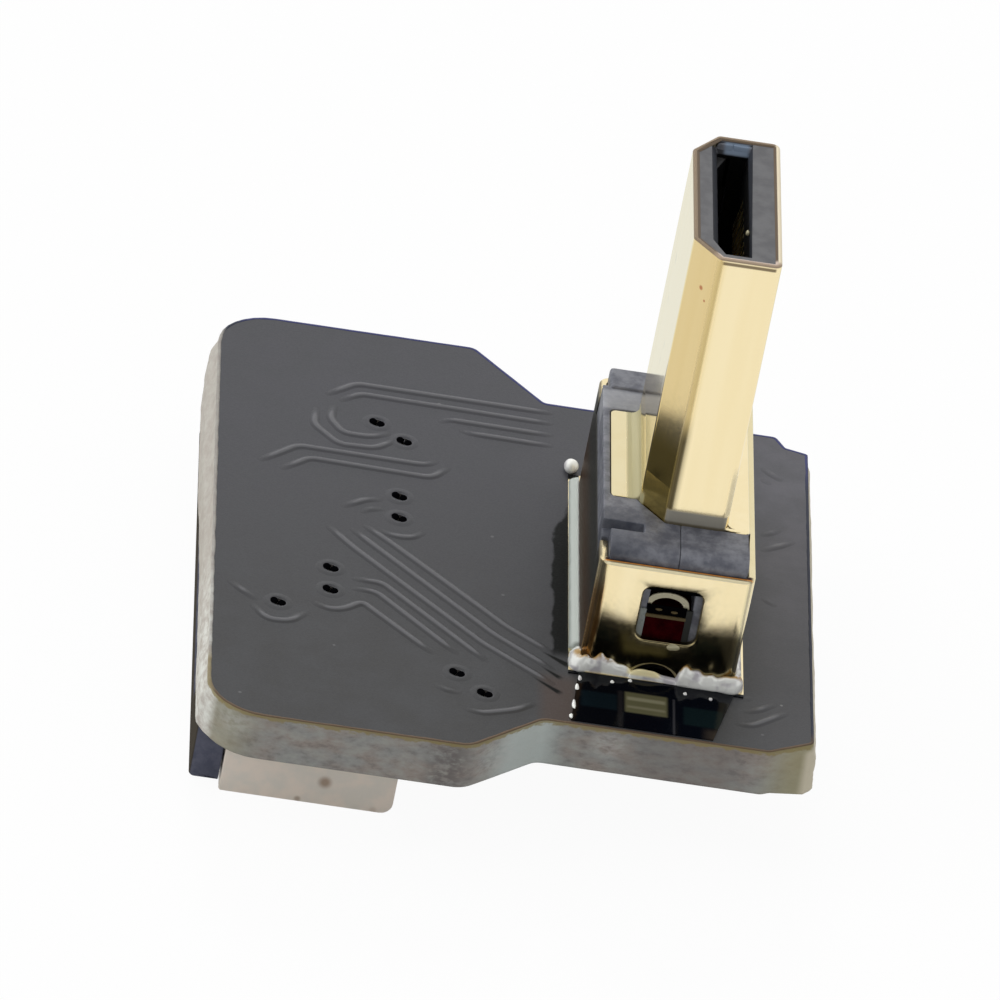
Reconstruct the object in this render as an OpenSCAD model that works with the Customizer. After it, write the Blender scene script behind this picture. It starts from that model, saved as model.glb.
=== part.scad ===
// Micro video plug on a small board, with a flat-cable connector underneath.
// The origin is on the plug's axis, in the plane of the board's underside.
// X runs from the cable end to the plug end, Y across the board, and Z up along the plug.

/* [Board] */
// Length of the board along X
board_l = 15.05; // [14.5:0.05:18]
// Width of the board's wide part
board_w = 18.35; // [17.2:0.05:22]
// Thickness of the laminate
board_t = 1.27; // [0.8:0.01:1.6]
// From the plug's axis to the plug end of the board
plug_to_end = 3.85; // [3.4:0.05:5]
// From the plug's axis to the front edge of the wide part
plug_to_front = 8.65; // [8.4:0.05:10]
// Width of the neck that carries the plug
neck_w = 14.55; // [13:0.05:17]
// From the plug's axis to the front edge of the neck
plug_to_neck = 7; // [6.6:0.05:8]
// From the cable end to the place where the outline starts to narrow
shoulder_x = 6.5; // [6:0.05:8]
// Length along X of the slanted shoulders
shoulder_l = 1.8; // [1:0.05:2.4]
// Radius of the two corners at the cable end
corner_r = 1.4; // [0.4:0.1:2.5]
// Length along X of the broken front corner at the plug end
end_cut_l = 1.1; // [0.6:0.05:1.4]
// Depth along Y of that corner
end_cut_d = 0.65; // [0.3:0.05:1]
// Length of the notch left by the tab that held the back corner
notch_l = 0.8; // [0.3:0.05:1.2]
// Depth of that notch
notch_d = 0.6; // [0.2:0.05:1]
// How far the snapped web stands out of the two ends
web_out = 0.13; // [0.05:0.01:0.25]

/* [Vias and tracks] */
// Drill of a via
via_d = 0.3; // [0.2:0.02:0.34]
// Width of a track
track_w = 0.15; // [0.1:0.01:0.18]
// Height of the ridge that a track makes under the mask
track_h = 0.05; // [0.02:0.005:0.08]
// Thickness of a bare plated pad
pad_t = 0.035; // [0.02:0.005:0.06]
// How far a pad shows round what is soldered to it
pad_rim = 0.05; // [0.02:0.01:0.08]
// How far a pad reaches beyond the end of a foot
pad_toe = 0.3; // [0.1:0.05:0.4]
// Width of the plated ring under the walls of the plug's base
pad_ring_w = 0.45; // [0.3:0.05:0.5]
// Width of the plated tail at the neck's front edge
pad_tail_w = 3.55; // [3:0.05:3.8]
// How far the tail leans towards the cable end
pad_tail_lean = 0.35; // [0:0.05:0.4]
// From the neck's front edge to the plated copper
pad_edge = 0.1; // [0.05:0.01:0.3]

/* [Plug barrel] */
// Width of the barrel along X
plug_w = 2.2; // [2.2:0.05:2.6]
// Length of the barrel along Y
plug_l = 5.83; // [5.6:0.01:6.2]
// Height of the barrel's mouth over the board's top face
plug_h = 11.35; // [9:0.05:13]
// Sheet thickness of the barrel
shell_t = 0.13; // [0.1:0.01:0.18]
// Width along X of the two slanted corners
slant_w = 0.66; // [0.4:0.02:0.8]
// Length along Y of the two slanted corners
slant_l = 0.83; // [0.4:0.01:1]
// Bend radius of the square corners, outside
bend_r = 0.2; // [0.1:0.01:0.3]
// How far the plastic sits below the barrel's rim
mouth_recess = 0.08; // [0:0.01:0.3]
// Depth of the barrel in the base, below the frame's top
barrel_root = 0.95; // [0.5:0.05:1.2]

/* [Slot and contacts] */
// Width of the slot in the plug's mouth
slot_w = 0.78; // [0.7:0.02:0.86]
// Length of the slot
slot_l = 5.1; // [4.6:0.05:5.2]
// Depth of the slot
slot_depth = 6; // [4:0.1:6.4]
// Width along X of the slot's two cut corners
slot_cut_w = 0.24; // [0.1:0.02:0.3]
// Length along Y of those corners
slot_cut_l = 0.6; // [0.2:0.05:0.8]
// Width of the lead-in along the slot's sides
lead_w = 0.18; // [0.05:0.01:0.2]
// Depth of the lead-in
lead_h = 0.35; // [0.1:0.01:0.6]
// Place along X of the seam between the two plastic halves
seam_x = -0.06; // [-0.1:0.01:0.1]
// Pitch of the plug's contacts
contact_pitch = 0.4; // [0.36:0.01:0.42]
// Width of a contact of the plug
contact_w = 0.2; // [0.14:0.01:0.24]
// Thickness of a contact of the plug
contact_t = 0.12; // [0.08:0.01:0.15]
// How far a contact's bow stands into the slot
contact_bow = 0.12; // [0.06:0.01:0.2]
// Length along Z of each slope of the bow
bow_l = 0.8; // [0.5:0.05:1]
// From the plug's mouth to a contact's tip
contact_head = 1; // [0.8:0.05:1.5]
// Length of a contact's foot on its pad
foot_l = 0.7; // [0.4:0.05:0.9]

/* [Base of the plug] */
// Width of the base's metal box along X
base_w = 3.9; // [3.8:0.05:4.4]
// Length of the box along Y
base_l = 8.62; // [8.4:0.02:9.2]
// Height of the box over the board's top face
base_h = 3.2; // [3:0.05:3.8]
// From the plug's axis to the box's middle, along X
base_dx = -0.07; // [-0.1:0.01:0.1]
// From the plug's axis to the box's middle, along Y
base_dy = -0.22; // [-0.3:0.01:0.3]
// Sheet thickness of the box
base_t = 0.2; // [0.12:0.01:0.25]
// Bend radius of the box's corners, outside
base_r = 0.32; // [0.26:0.01:0.5]
// How far the left wall is cut down under the plastic ledge
left_cut = 0.5; // [0.2:0.05:0.8]
// Width of the window in the front wall
window_w = 1.5; // [1.2:0.05:1.8]
// Height of the window
window_h = 1.56; // [1.2:0.02:1.6]
// From the board's top face to the window's sill
window_z = 1.12; // [0.9:0.02:1.3]
// Corner radius of the window
window_r = 0.25; // [0.1:0.01:0.4]
// Width of the arch in the front wall's lower edge
arch_w = 1.2; // [0.6:0.05:1.6]
// Height of the arch
arch_h = 0.45; // [0.2:0.05:0.6]
// From the window's middle to the arch's middle, along X
arch_dx = -0.1; // [-0.2:0.01:0.2]
// Width of the red block's head behind the window
spacer_w = 1.12; // [0.9:0.02:1.3]
// Height of the red block
spacer_h = 0.8; // [0.5:0.02:0.9]
// From the window's sill to the red block's foot
spacer_lift = 0.05; // [0.02:0.01:0.2]
// Depth of the recess behind the window
window_depth = 1.1; // [0.5:0.05:1.4]
// How far the plastic stands above the box
crown_h = 0.38; // [0.2:0.01:0.45]
// Drop of the plastic's rounded front and back top edges
crown_r = 0.3; // [0.1:0.01:0.34]
// Length along Y of those edges
crown_run = 0.5; // [0.2:0.02:0.56]
// Width of the grooves in the plastic, beside the frame
groove_w = 0.38; // [0.2:0.02:0.4]
// Length along X of those grooves, from the cable end
groove_l = 1.05; // [0.6:0.05:1.2]
// Depth of those grooves
groove_d = 0.3; // [0.1:0.02:0.6]
// Width of the frame's rim in front of and behind the barrel
rim_w = 0.2; // [0.14:0.01:0.25]
// Length of the barrel's left wing
left_wing_l = 4; // [3:0.1:4.1]
// Length of the barrel's right wing
right_wing_l = 5.8; // [4:0.1:5.9]
// Corner radius of the wings
wing_r = 0.15; // [0.05:0.01:0.3]
// Radius of the bend between a wing and the barrel
wing_bend = 0.2; // [0.1:0.01:0.3]

/* [Flat-cable connector] */
// How many contacts the cable connector has
ways = 20; // [10:1:21]
// Pitch of its contacts
way_pitch = 0.5; // [0.4:0.01:0.52]
// Width of one of its contacts
way_w = 0.2; // [0.12:0.01:0.24]
// Sheet thickness of its contacts
way_t = 0.14; // [0.1:0.01:0.16]
// Depth of the housing along X
housing_d = 4.33; // [4.2:0.05:5]
// Height of the housing
housing_h = 2; // [1.9:0.05:2.4]
// Length of each end block beside the cable
end_l = 2.54; // [2.3:0.02:2.8]
// From the middle of the board's wide part to the connector's middle, along Y
housing_dy = 0; // [-0.2:0.01:0.2]
// Thickness of the housing's floor and roof
housing_wall = 0.45; // [0.35:0.01:0.45]
// Thickness of the housing's back wall
back_wall = 0.5; // [0.4:0.05:0.8]
// Room beside the cable, at each end of the cavity
cavity_gap = 0.1; // [0.05:0.01:0.2]
// From the housing's mouth to the channels of its contacts
throat_l = 0.9; // [0.5:0.05:1]
// From the start of a channel to the contact's tips
tip_gap = 0.3; // [0.1:0.05:0.5]
// Length along X of the nose on a contact's lower arm
nose_l = 0.5; // [0.3:0.05:0.8]
// Height of that nose
nose_h = 0.06; // [0.02:0.01:0.08]
// Thickness along X of a contact's stem
stem_t = 0.25; // [0.15:0.01:0.3]
// Length of a contact's foot on its pad
way_foot_l = 0.7; // [0.4:0.05:1]
// How far the slider stands out of the housing
slider_out = 0.8; // [0.6:0.05:1.2]
// How far the slider's face stands past the board's end
slider_past = 0.07; // [-0.2:0.01:0.3]
// Height of the slider
slider_h = 1.7; // [1.6:0.02:1.9]
// Thickness of the slider's tongue
tongue_t = 0.25; // [0.15:0.01:0.3]
// Travel of the slider
slider_travel = 1; // [0.5:0.1:1.2]
// How much of the tongue stays in the housing when the slider is open
tongue_hold = 1.3; // [0.8:0.05:1.5]
// Width of the slider's two side arms
arm_w = 0.5; // [0.3:0.05:0.6]
// Thickness of the side arms
arm_h = 0.5; // [0.3:0.05:0.6]
// From the cavity's end to the middle of a side arm
arm_dy = 0.55; // [0.45:0.01:0.7]
// Thickness of the gap for the cable
cable_gap = 0.34; // [0.3:0.01:0.36]
// Lead-in along the cable's gap
cable_lead = 0.15; // [0.05:0.01:0.2]
// Gap round the slider's sliding faces
slide_gap = 0.05; // [0.03:0.01:0.08]
// Length along X of a hold-down tab
tab_l = 1.33; // [0.8:0.01:1.6]
// From the housing's back to a tab
tab_dx = 0.4; // [0.2:0.05:0.8]
// From the housing's end to the slit of a tab
tab_in = 0.35; // [0.25:0.01:0.5]
// How far a tab's foot reaches beyond the housing's end
tab_out = 0.4; // [0.2:0.05:0.5]
// Height of the housing left under a tab
tab_cover = 0.4; // [0.2:0.05:0.8]

/* [Solder] */
// Height of the solder fillets on the box's walls
solder_h = 0.3; // [0.1:0.02:0.4]
// How far the side fillets spread over the board
solder_w = 0.2; // [0.1:0.01:0.24]
// Radius of the stray bead of solder behind the box
bead_r = 0.17; // [0.1:0.01:0.25]
// From the box's back to that bead
bead_dy = 0.7; // [0.3:0.05:1]

/* [Hidden] */
$fn = 48;
plug_rows = [10, 9];
contacts = plug_rows[0] + plug_rows[1];
function two_digits(i) = str(i < 10 ? "0" : "", i);
function contact_name(i) = str("plug_contact_", two_digits(i));
function way_name(i) = str("ribbon_contact_", two_digits(i));

fit_gap = 0.01;
past = 1;
board_x0 = plug_to_end - board_l;
board_x1 = plug_to_end;
board_y0 = -plug_to_front;
board_y1 = board_w - plug_to_front;
neck_y0 = -plug_to_neck;
neck_y1 = neck_w - plug_to_neck;
shoulder_x0 = board_x0 + shoulder_x;
shoulder_x1 = shoulder_x0 + shoulder_l;

base_x0 = base_dx - base_w / 2;
base_x1 = base_dx + base_w / 2;
base_y0 = base_dy - base_l / 2;
base_y1 = base_dy + base_l / 2;
crown_z = base_h + crown_h;
floor_z = arch_h - fit_gap;
rim_y = plug_l / 2 + rim_w;
wing_z = crown_z - shell_t;

housing_x0 = board_x0 - slider_past + slider_out;
housing_x1 = housing_x0 + housing_d;
slider_x0 = board_x0 - slider_past;
cable_w = (ways + 1) * way_pitch;
cavity_w = cable_w + 2 * cavity_gap;
housing_l = cable_w + 2 * end_l;
tongue_z = housing_wall + way_t + slide_gap;
cable_z = tongue_z + tongue_t;
cavity_x1 = housing_x1 - back_wall;
housing_y = (board_y0 + board_y1) / 2 + housing_dy;
tongue_l = tongue_hold + slider_travel;

// Unit vector, and a vector turned a quarter to the left
function unit(v) = v / norm(v);
function left_of(v) = [-v[1], v[0]];

// The corner b of the path a, b, c, moved sideways by d with a mitre
function mitre(a, b, c, d) =
    let (m = left_of(unit(b - a)), n = left_of(unit(c - b)), s = unit(m + n))
    b + s * d / (s * m);

// A closed outline moved inwards by d
function inset(p, d) =
    let (n = len(p)) [for (i = [0:n - 1]) mitre(p[(i + n - 1) % n], p[i], p[(i + 1) % n], d)];

// A corner as an arc of radius r, worked out between its two tangent points
function corner_arc(a, b, c, r) =
    let (u = unit(a - b), v = unit(c - b), half = acos(u * v) / 2, turn = 180 - 2 * half,
         steps = ceil(turn / 15), centre = b + unit(u + v) * r / sin(half),
         p = b + u * r / tan(half) - centre, q = b + v * r / tan(half) - centre)
    [for (k = [0:steps]) centre + (p * sin(turn * (1 - k / steps)) + q * sin(turn * k / steps)) / sin(turn)];
function rounded(p, r) =
    let (n = len(p))
    [for (i = [0:n - 1])
        each (r[i] > 0 ? corner_arc(p[(i + n - 1) % n], p[i], p[(i + 1) % n], r[i]) : [p[i]])];

// Places children on the board's top face, or under the board with Z pointing down
module on_top() translate([0, 0, board_t]) children();
module under() mirror([0, 0, 1]) children();

// A block between two corners
module block(low, high) translate(low) cube(high - low);

// A profile in X and Z, carried along Y for a length w about the place y
module along_y(y, w) translate([0, y + w / 2, 0]) rotate([90, 0, 0]) linear_extrude(w) children();

front_shoulder_r = [0.7, 0.5];
back_shoulder_r = 0.25;
end_cut_r = 0.15;
notch_r = 0.1;
board_outline = rounded(
    [[board_x0, board_y0], [shoulder_x0, board_y0], [shoulder_x1, neck_y0], [board_x1 - end_cut_l, neck_y0],
     [board_x1, neck_y0 + end_cut_d], [board_x1, neck_y1 - notch_d],
     [board_x1 - notch_l * 0.7, neck_y1 - notch_d * 0.75], [board_x1 - notch_l, neck_y1],
     [shoulder_x1, neck_y1], [shoulder_x0, board_y1], [board_x0, board_y1]],
    [corner_r, front_shoulder_r[0], front_shoulder_r[1], end_cut_r, end_cut_r, 0, notch_r, notch_r,
     back_shoulder_r, back_shoulder_r, corner_r]);

// Places of the vias, from the plug's axis
vias = [[-7.15, 5.5], [-6.45, 4.8], [-6.55, 2.2], [-6.55, 1.2], [-8.25, -1.55], [-8.25, -2.55],
        [-9.55, -3.45], [-5.05, -5.5], [-4.35, -6.25]];

// Web left along the two ends where the board was snapped out of its panel, sunk into the board by web_in
web_in = 0.2;
web_z = [for (share = [0.03, 0.1, 0.55, 0.85]) share * board_t];
module snapped_web(length)
    along_y(0, length)
        polygon([[web_in, web_z[0]], [0, web_z[0]], [-web_out, web_z[1]], [-web_out, web_z[2]],
                 [0, web_z[3]], [web_in, web_z[3]]]);

module circuit_board()
    color([0.35, 0.36, 0.38])
    difference() {
        union() {
            linear_extrude(board_t) polygon(board_outline);
            translate([board_x0, (board_y0 + board_y1) / 2, 0]) snapped_web(board_w - 2 * corner_r);
            translate([board_x1, (neck_y0 + neck_y1 + end_cut_d - notch_d) / 2, 0])
                mirror([1, 0, 0]) snapped_web(neck_w - end_cut_d - notch_d);
        }
        for (v = vias) translate([v[0], v[1], -past]) cylinder(h = board_t + 2 * past, d = via_d);
    }

// Routes of the tracks on the top face
track_end = base_x0 - solder_w - 0.3;
routes = [
    [[track_end, 7.15], [-7.7, 7.2], [-8.55, 6.4]],
    [[track_end, 6.65], [-7.6, 6.75], [-8.2, 6.2]],
    [[track_end, 6.1], [-5.35, 6.15], [-5.65, 5.85]],
    [[track_end, 5.6], [-4.9, 5.65], [-5.15, 5.8]],
    [[-8, 5], [-7.8, 4.75], [-7.3, 4.8], [-6.9, 5.1]],
    [[-8.45, 4.7], [-8, 4.25], [-7.2, 4.3], [-6.7, 4.85]],
    [[-10.2, 2.85], [-9.15, 3.9], [-6.05, 3.85], [-5.8, 3.9], [-5.5, 4.2]],
    [[-9.65, 2.6], [-8.85, 3.4], [-5.75, 3.3], [-5.2, 4]],
    [[-8.1, 1.25], [-7.4, 1.85], [-6.85, 1.95]],
    [[-7.6, 1.1], [-7.3, 1.45], [-6.8, 1.5]],
    [[-6.75, 0.45], [-6.35, 0.3], [-6, 0.55]],
    [[-7.55, 0.75], [-6.75, 0], [-3.8, -3.1], [track_end, -4.1]],
    [[-7.85, 0.5], [-7.3, -0.1], [-4.15, -3.5], [track_end, -4.85]],
    [[-8.45, 0.5], [-7.7, -0.45], [-4.4, -4], [track_end, -5.5]],
    [[-7.85, -1.9], [-6.95, -1.9], [-4.2, -4.9]],
    [[-7.85, -2.35], [-7.1, -2.35], [-4.95, -4.75]],
    [[-8.8, -3.15], [-8.3, -3.45], [-7.9, -3.35], [-7.45, -2.9], [-5.55, -4.9]],
    [[-10.1, -3.9], [-9.7, -4.25], [-9.25, -4.2], [-8.85, -3.8]],
    [[-10.5, -3.1], [-10.2, -3.4]],
    [[-5.7, -6.05], [-5.35, -6.35], [-4.8, -6.4]],
    [[-5, -7.05], [-4.4, -7.15], [-3.6, -6.8], [-3, -6.3]],
    [[2.6, 6.1], [3.3, 5.45]],
    [[2.6, 5.6], [3, 5.2]],
    [[2.65, 3.35], [2.9, 3.5]],
    [[2.55, 2.75], [3.25, 3.3]],
    [[2.55, 2.05], [3.6, 2.85]],
    [[2.55, 0.05], [3.1, -0.45]],
    [[2.5, -0.5], [2.7, -0.7]],
    [[2.05, -5], [2.45, -4.55]],
    [[2, -5.4], [2.35, -5.35], [3.05, -4.75]],
    [[1.8, -5.95], [2.3, -6], [3.35, -5.05]]];

// One track: its straight runs, with a round end at each point
module track(path) {
    for (p = path) translate(p) circle(d = track_w, $fn = 16);
    for (i = [1:len(path) - 1]) {
        run = path[i] - path[i - 1];
        translate(path[i - 1])
            rotate(atan2(run[1], run[0]))
                translate([0, -track_w / 2]) square([norm(run), track_w]);
    }
}

module board_tracks()
    color([0.4, 0.41, 0.43])
    on_top() linear_extrude(track_h)
        for (path = routes) track(path);

// Bare plated copper round the base, with a tail that leans on its way to the neck's front edge
pad_side = solder_w + pad_rim;
pad_y0 = base_y0 - pad_side;
pad_tail_x = (base_x0 + base_x1) / 2 - pad_tail_lean;
module ground_pad()
    color([0.85, 0.75, 0.45])
    on_top() difference() {
        linear_extrude(pad_t)
            polygon([[base_x0 - pad_side, base_y1 + pad_side], [base_x0 - pad_side, pad_y0], [base_x0, pad_y0],
                     [pad_tail_x - pad_tail_w / 2, neck_y0 + pad_edge],
                     [pad_tail_x + pad_tail_w / 2, neck_y0 + pad_edge], [base_x1, pad_y0],
                     [base_x1 + pad_side, pad_y0], [base_x1 + pad_side, base_y1 + pad_side]]);
        block([base_x0 + pad_ring_w, base_y0 + pad_ring_w, -past],
              [base_x1 - pad_ring_w, base_y1 - pad_ring_w, past]);
    }

// Outline of the barrel, counted from its front slanted corner
barrel_outline = [[-plug_w / 2 + slant_w, -plug_l / 2], [plug_w / 2, -plug_l / 2], [plug_w / 2, plug_l / 2],
                  [-plug_w / 2 + slant_w, plug_l / 2], [-plug_w / 2, plug_l / 2 - slant_l],
                  [-plug_w / 2, slant_l - plug_l / 2]];
slant_r = bend_r * 0.8;
barrel_radii = [slant_r, bend_r, bend_r, slant_r, slant_r, slant_r];
min_r = 0.02;
inner_radii = [for (r = barrel_radii) max(r - shell_t, min_r)];
module barrel_shape() polygon(rounded(barrel_outline, barrel_radii));
module bore_shape(gap) polygon(rounded(inset(barrel_outline, shell_t + gap), inner_radii));

root_z = crown_z - barrel_root;
wing_x0 = base_x0 + base_t + fit_gap;
wing_x1 = base_x1 - base_t - fit_gap;

// The two wings lie flush in the plastic frame
module wing(x, length, gap)
    translate([0, 0, wing_z - gap]) linear_extrude(shell_t + gap)
        polygon(rounded([[0, -length / 2 - gap], [x, -length / 2 - gap], [x, length / 2 + gap],
                         [0, length / 2 + gap]], [0, wing_r, wing_r, 0]));
module wings(gap) {
    wing(wing_x0 - gap, left_wing_l, gap);
    wing(wing_x1 + gap, right_wing_l, gap);
}

// The hollow bend that joins a wing to the flat part of the barrel's side
module wing_root(side, length)
    mirror([side, 0, 0]) translate([-plug_w / 2, 0, crown_z])
        along_y(0, length) difference() {
            translate([-wing_bend, -shell_t / 2]) square(wing_bend + shell_t / 2);
            translate([-wing_bend, wing_bend]) circle(wing_bend);
        }

module plug_shell()
    color([0.86, 0.72, 0.38])
    on_top() difference() {
        union() {
            translate([0, 0, root_z]) linear_extrude(plug_h - root_z) barrel_shape();
            wings(0);
            wing_root(0, min(left_wing_l, plug_l - 2 * slant_l));
            wing_root(1, min(right_wing_l, plug_l - 2 * bend_r));
        }
        translate([0, 0, root_z - past]) linear_extrude(plug_h - root_z + 2 * past) bore_shape(0);
    }

// Outline of the base's box, moved inwards by d
module box_shape(d)
    polygon(rounded(
        [[base_x0 + d, base_y0 + d], [base_x1 - d, base_y0 + d], [base_x1 - d, base_y1 - d],
         [base_x0 + d, base_y1 - d]],
        [for (i = [0:3]) max(base_r - d, min_r)]));

// The left wall is cut down between these two places
ledge_y0 = -rim_y - groove_w;
ledge_y1 = rim_y;
module window_shape()
    translate([seam_x - window_w / 2, window_z])
        polygon(rounded([[0, 0], [window_w, 0], [window_w, window_h], [0, window_h]],
                        [for (i = [0:3]) window_r]));

// The arch is a low segment of a circle that springs from the board
module arch_shape() {
    arch_r = (arch_w * arch_w / 4 + arch_h * arch_h) / (2 * arch_h);
    translate([seam_x + arch_dx, arch_h - arch_r]) circle(arch_r);
}

// The two ends of the folded sheet meet in a joint behind
joint_w = 0.04;
module base_shell()
    color([0.88, 0.76, 0.45])
    on_top() difference() {
        translate([0, 0, pad_t]) linear_extrude(base_h - pad_t) difference() {
            box_shape(0);
            box_shape(base_t);
        }
        along_y(base_y0, 4 * base_t) window_shape();
        along_y(base_y0, 4 * base_t) arch_shape();
        block([base_x0 - past, ledge_y0, base_h - left_cut], [base_x0 + 2 * base_t, ledge_y1, base_h + past]);
        block([base_dx - joint_w / 2, base_y1 - 2 * base_t, -past],
              [base_dx + joint_w / 2, base_y1 + past, base_h + past]);
    }

// A contact strip stands in its own channel beside the slot
slot_x0 = seam_x - slot_w / 2;
slot_x1 = seam_x + slot_w / 2;
head_z = plug_h - contact_head;
function row_of(i) = i <= plug_rows[0] ? 0 : 1;
function place_in_row(i) = row_of(i) == 0 ? i - 1 : i - 1 - plug_rows[0];
function contact_y(i) = (place_in_row(i) - (plug_rows[row_of(i)] - 1) / 2) * contact_pitch;

// Moves children to a contact's row, drawn with the slot towards +X and the wall at X = 0
module in_row(i)
    translate([row_of(i) == 0 ? slot_x0 : slot_x1, contact_y(i), 0])
        mirror([row_of(i), 0, 0]) children();

module contact_profile()
    polygon([[-contact_t, pad_t + contact_t], [-foot_l, pad_t + contact_t], [-foot_l, pad_t], [0, pad_t],
             [0, head_z - 2 * bow_l], [contact_bow, head_z - bow_l], [0, head_z], [-contact_t, head_z],
             [contact_bow - contact_t, head_z - bow_l], [-contact_t, head_z - 2 * bow_l]]);

module plug_contact(i)
    color([0.9, 0.78, 0.4])
    on_top() in_row(i) along_y(0, contact_w) contact_profile();

module plug_pads()
    color([0.85, 0.75, 0.45])
    on_top() for (i = [1:contacts]) in_row(i)
        block([-foot_l - 2 * pad_rim, -contact_w / 2 - pad_rim / 2, 0],
              [pad_rim, contact_w / 2 + pad_rim / 2, pad_t]);

// The red block between the two rows: a wide head behind the window, and a stem between the contacts
spacer_z0 = window_z + spacer_lift;
spacer_z1 = spacer_z0 + spacer_h;
spacer_y0 = base_y0 + base_t + fit_gap;
spacer_y1 = max(contact_y(1), contact_y(plug_rows[0])) + contact_w;
module spacer_body(gap) {
    block([seam_x - spacer_w / 2 - gap, spacer_y0 - gap, spacer_z0 - gap],
          [seam_x + spacer_w / 2 + gap, -spacer_y1 + gap, spacer_z1 + gap]);
    block([slot_x0 + fit_gap - gap, -spacer_y1 - contact_w, spacer_z0 - gap],
          [slot_x1 - fit_gap + gap, spacer_y1 + gap, spacer_z1 + gap]);
}

module tail_spacer() color([0.3, 0.05, 0.06]) on_top() spacer_body(0);

// The slot follows the barrel's slanted corners on its left side
module slot_shape()
    polygon([[slot_x0 + slot_cut_w, -slot_l / 2], [slot_x1, -slot_l / 2], [slot_x1, slot_l / 2],
             [slot_x0 + slot_cut_w, slot_l / 2], [slot_x0, slot_l / 2 - slot_cut_l],
             [slot_x0, slot_cut_l - slot_l / 2]]);

// Four slopes that lead into the slot, as a funnel whose ends take half of the plastic's end walls
lead_end = (plug_l / 2 - shell_t - fit_gap - slot_l / 2) / 2;
module lead_in()
    translate([0, 0, plug_h - mouth_recess]) intersection() {
        along_y(0, plug_l)
            polygon([[slot_x0, -lead_h], [slot_x1, -lead_h], [slot_x1 + lead_w, 0], [slot_x1 + lead_w, past],
                     [slot_x0 - lead_w, past], [slot_x0 - lead_w, 0]]);
        rotate(90) along_y(0, 2 * plug_w)
            polygon([[-slot_l / 2, -lead_h], [slot_l / 2, -lead_h], [slot_l / 2 + lead_end, 0],
                     [slot_l / 2 + lead_end, past], [-slot_l / 2 - lead_end, past],
                     [-slot_l / 2 - lead_end, 0]]);
    }

// The moulding before it is divided at the seam
plastic_t = base_t + fit_gap;
module crown_edge(y, side)
    translate([0, y, crown_z]) mirror([0, side, 0])
        rotate([90, 0, 90]) linear_extrude(2 * base_w, center = true)
            polygon([[-past, -crown_r],
                     each [for (a = [0:15:90]) [crown_run * (1 - cos(a)), crown_r * (sin(a) - 1)]],
                     [crown_run, past], [-past, past]]);

module moulding() difference() {
    union() {
        translate([0, 0, floor_z]) linear_extrude(crown_z - floor_z) box_shape(plastic_t);
        block([base_x0 + 0.02, ledge_y0 + fit_gap, base_h - left_cut + fit_gap],
              [base_x0 + 2 * base_t, ledge_y1 - fit_gap, crown_z]);
        translate([0, 0, crown_z - past]) linear_extrude(plug_h - mouth_recess - crown_z + past)
            bore_shape(fit_gap);
    }
    difference() {
        translate([0, 0, root_z - fit_gap]) linear_extrude(barrel_root + 2 * fit_gap)
            polygon(rounded(inset(barrel_outline, -fit_gap), barrel_radii));
        translate([0, 0, root_z - past]) linear_extrude(barrel_root + 2 * past) bore_shape(fit_gap);
    }
    difference() {
        wings(fit_gap);
        linear_extrude(plug_h) bore_shape(fit_gap);
    }
    for (s = [-1, 1])
        block([base_x0 - past, s * (rim_y + groove_w / 2) - groove_w / 2, crown_z - groove_d],
              [base_x0 + groove_l, s * (rim_y + groove_w / 2) + groove_w / 2, crown_z + fit_gap]);
    crown_edge(base_y0 + plastic_t, 0);
    crown_edge(base_y1 - plastic_t, 1);
    translate([0, 0, plug_h - slot_depth]) linear_extrude(slot_depth + past) slot_shape();
    lead_in();
    spacer_body(fit_gap);
    block([seam_x - spacer_w / 2, base_y0, spacer_z1],
          [seam_x + spacer_w / 2, base_y0 + base_t + window_depth, window_z + window_h]);
    for (i = [1:contacts]) in_row(i)
        block([-contact_t - fit_gap, -contact_w / 2 - fit_gap, 0],
              [contact_bow + fit_gap, contact_w / 2 + fit_gap, head_z + contact_t]);
}

module half_space(side)
    translate([seam_x + (fit_gap + plug_h) / 2 * side, 0, plug_h / 2])
        cube([plug_h, 2 * board_w, 2 * plug_h], center = true);

module insulator_left()
    color([0.36, 0.37, 0.42]) on_top() intersection() { moulding(); half_space(-1); }

module insulator_right()
    color([0.36, 0.37, 0.42]) on_top() intersection() { moulding(); half_space(1); }

// A hollow fillet between a wall and the board, drawn with the wall at X = 0 and the board at Z = pad_t
module fillet_profile(w, h)
    polygon([[0, pad_t], [-w, pad_t], [-w * 0.45, pad_t + h * 0.28], [-w * 0.15, pad_t + h * 0.6],
             [0, pad_t + h]]);

side_run = base_l - 2 * base_r;
module solder_left()
    color([0.8, 0.8, 0.76]) on_top() {
        translate([base_x0, 0, 0]) along_y(base_dy, side_run) fillet_profile(solder_w, solder_h);
        intersection() {
            translate([base_x0 - solder_w / 2, base_y1 + bead_dy, bead_r * 0.4]) sphere(bead_r);
            block([-2 * base_w, 0, 0], [0, 2 * base_l, base_h]);
        }
    }

module solder_right()
    color([0.8, 0.8, 0.76]) on_top()
    translate([base_x1, 0, 0]) mirror([1, 0, 0])
        along_y(base_dy, side_run) fillet_profile(solder_w, solder_h);

module solder_back()
    color([0.8, 0.8, 0.76]) on_top()
    translate([base_dx, base_y1, 0]) rotate(-90)
        along_y(0, base_w - 2 * base_r) fillet_profile(solder_w, solder_h);

// Heaps of solder along the front wall, one sphere after another, each [x, radius, height of its middle]
module solder_heap(heaps)
    color([0.85, 0.84, 0.78]) on_top() intersection() {
        for (s = heaps) translate([s[0], base_y0 - 0.04, s[2]]) sphere(s[1], $fn = 32);
        block([-2 * base_w, base_y0 - past, pad_t], [2 * base_w, base_y0, base_h]);
    }

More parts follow.
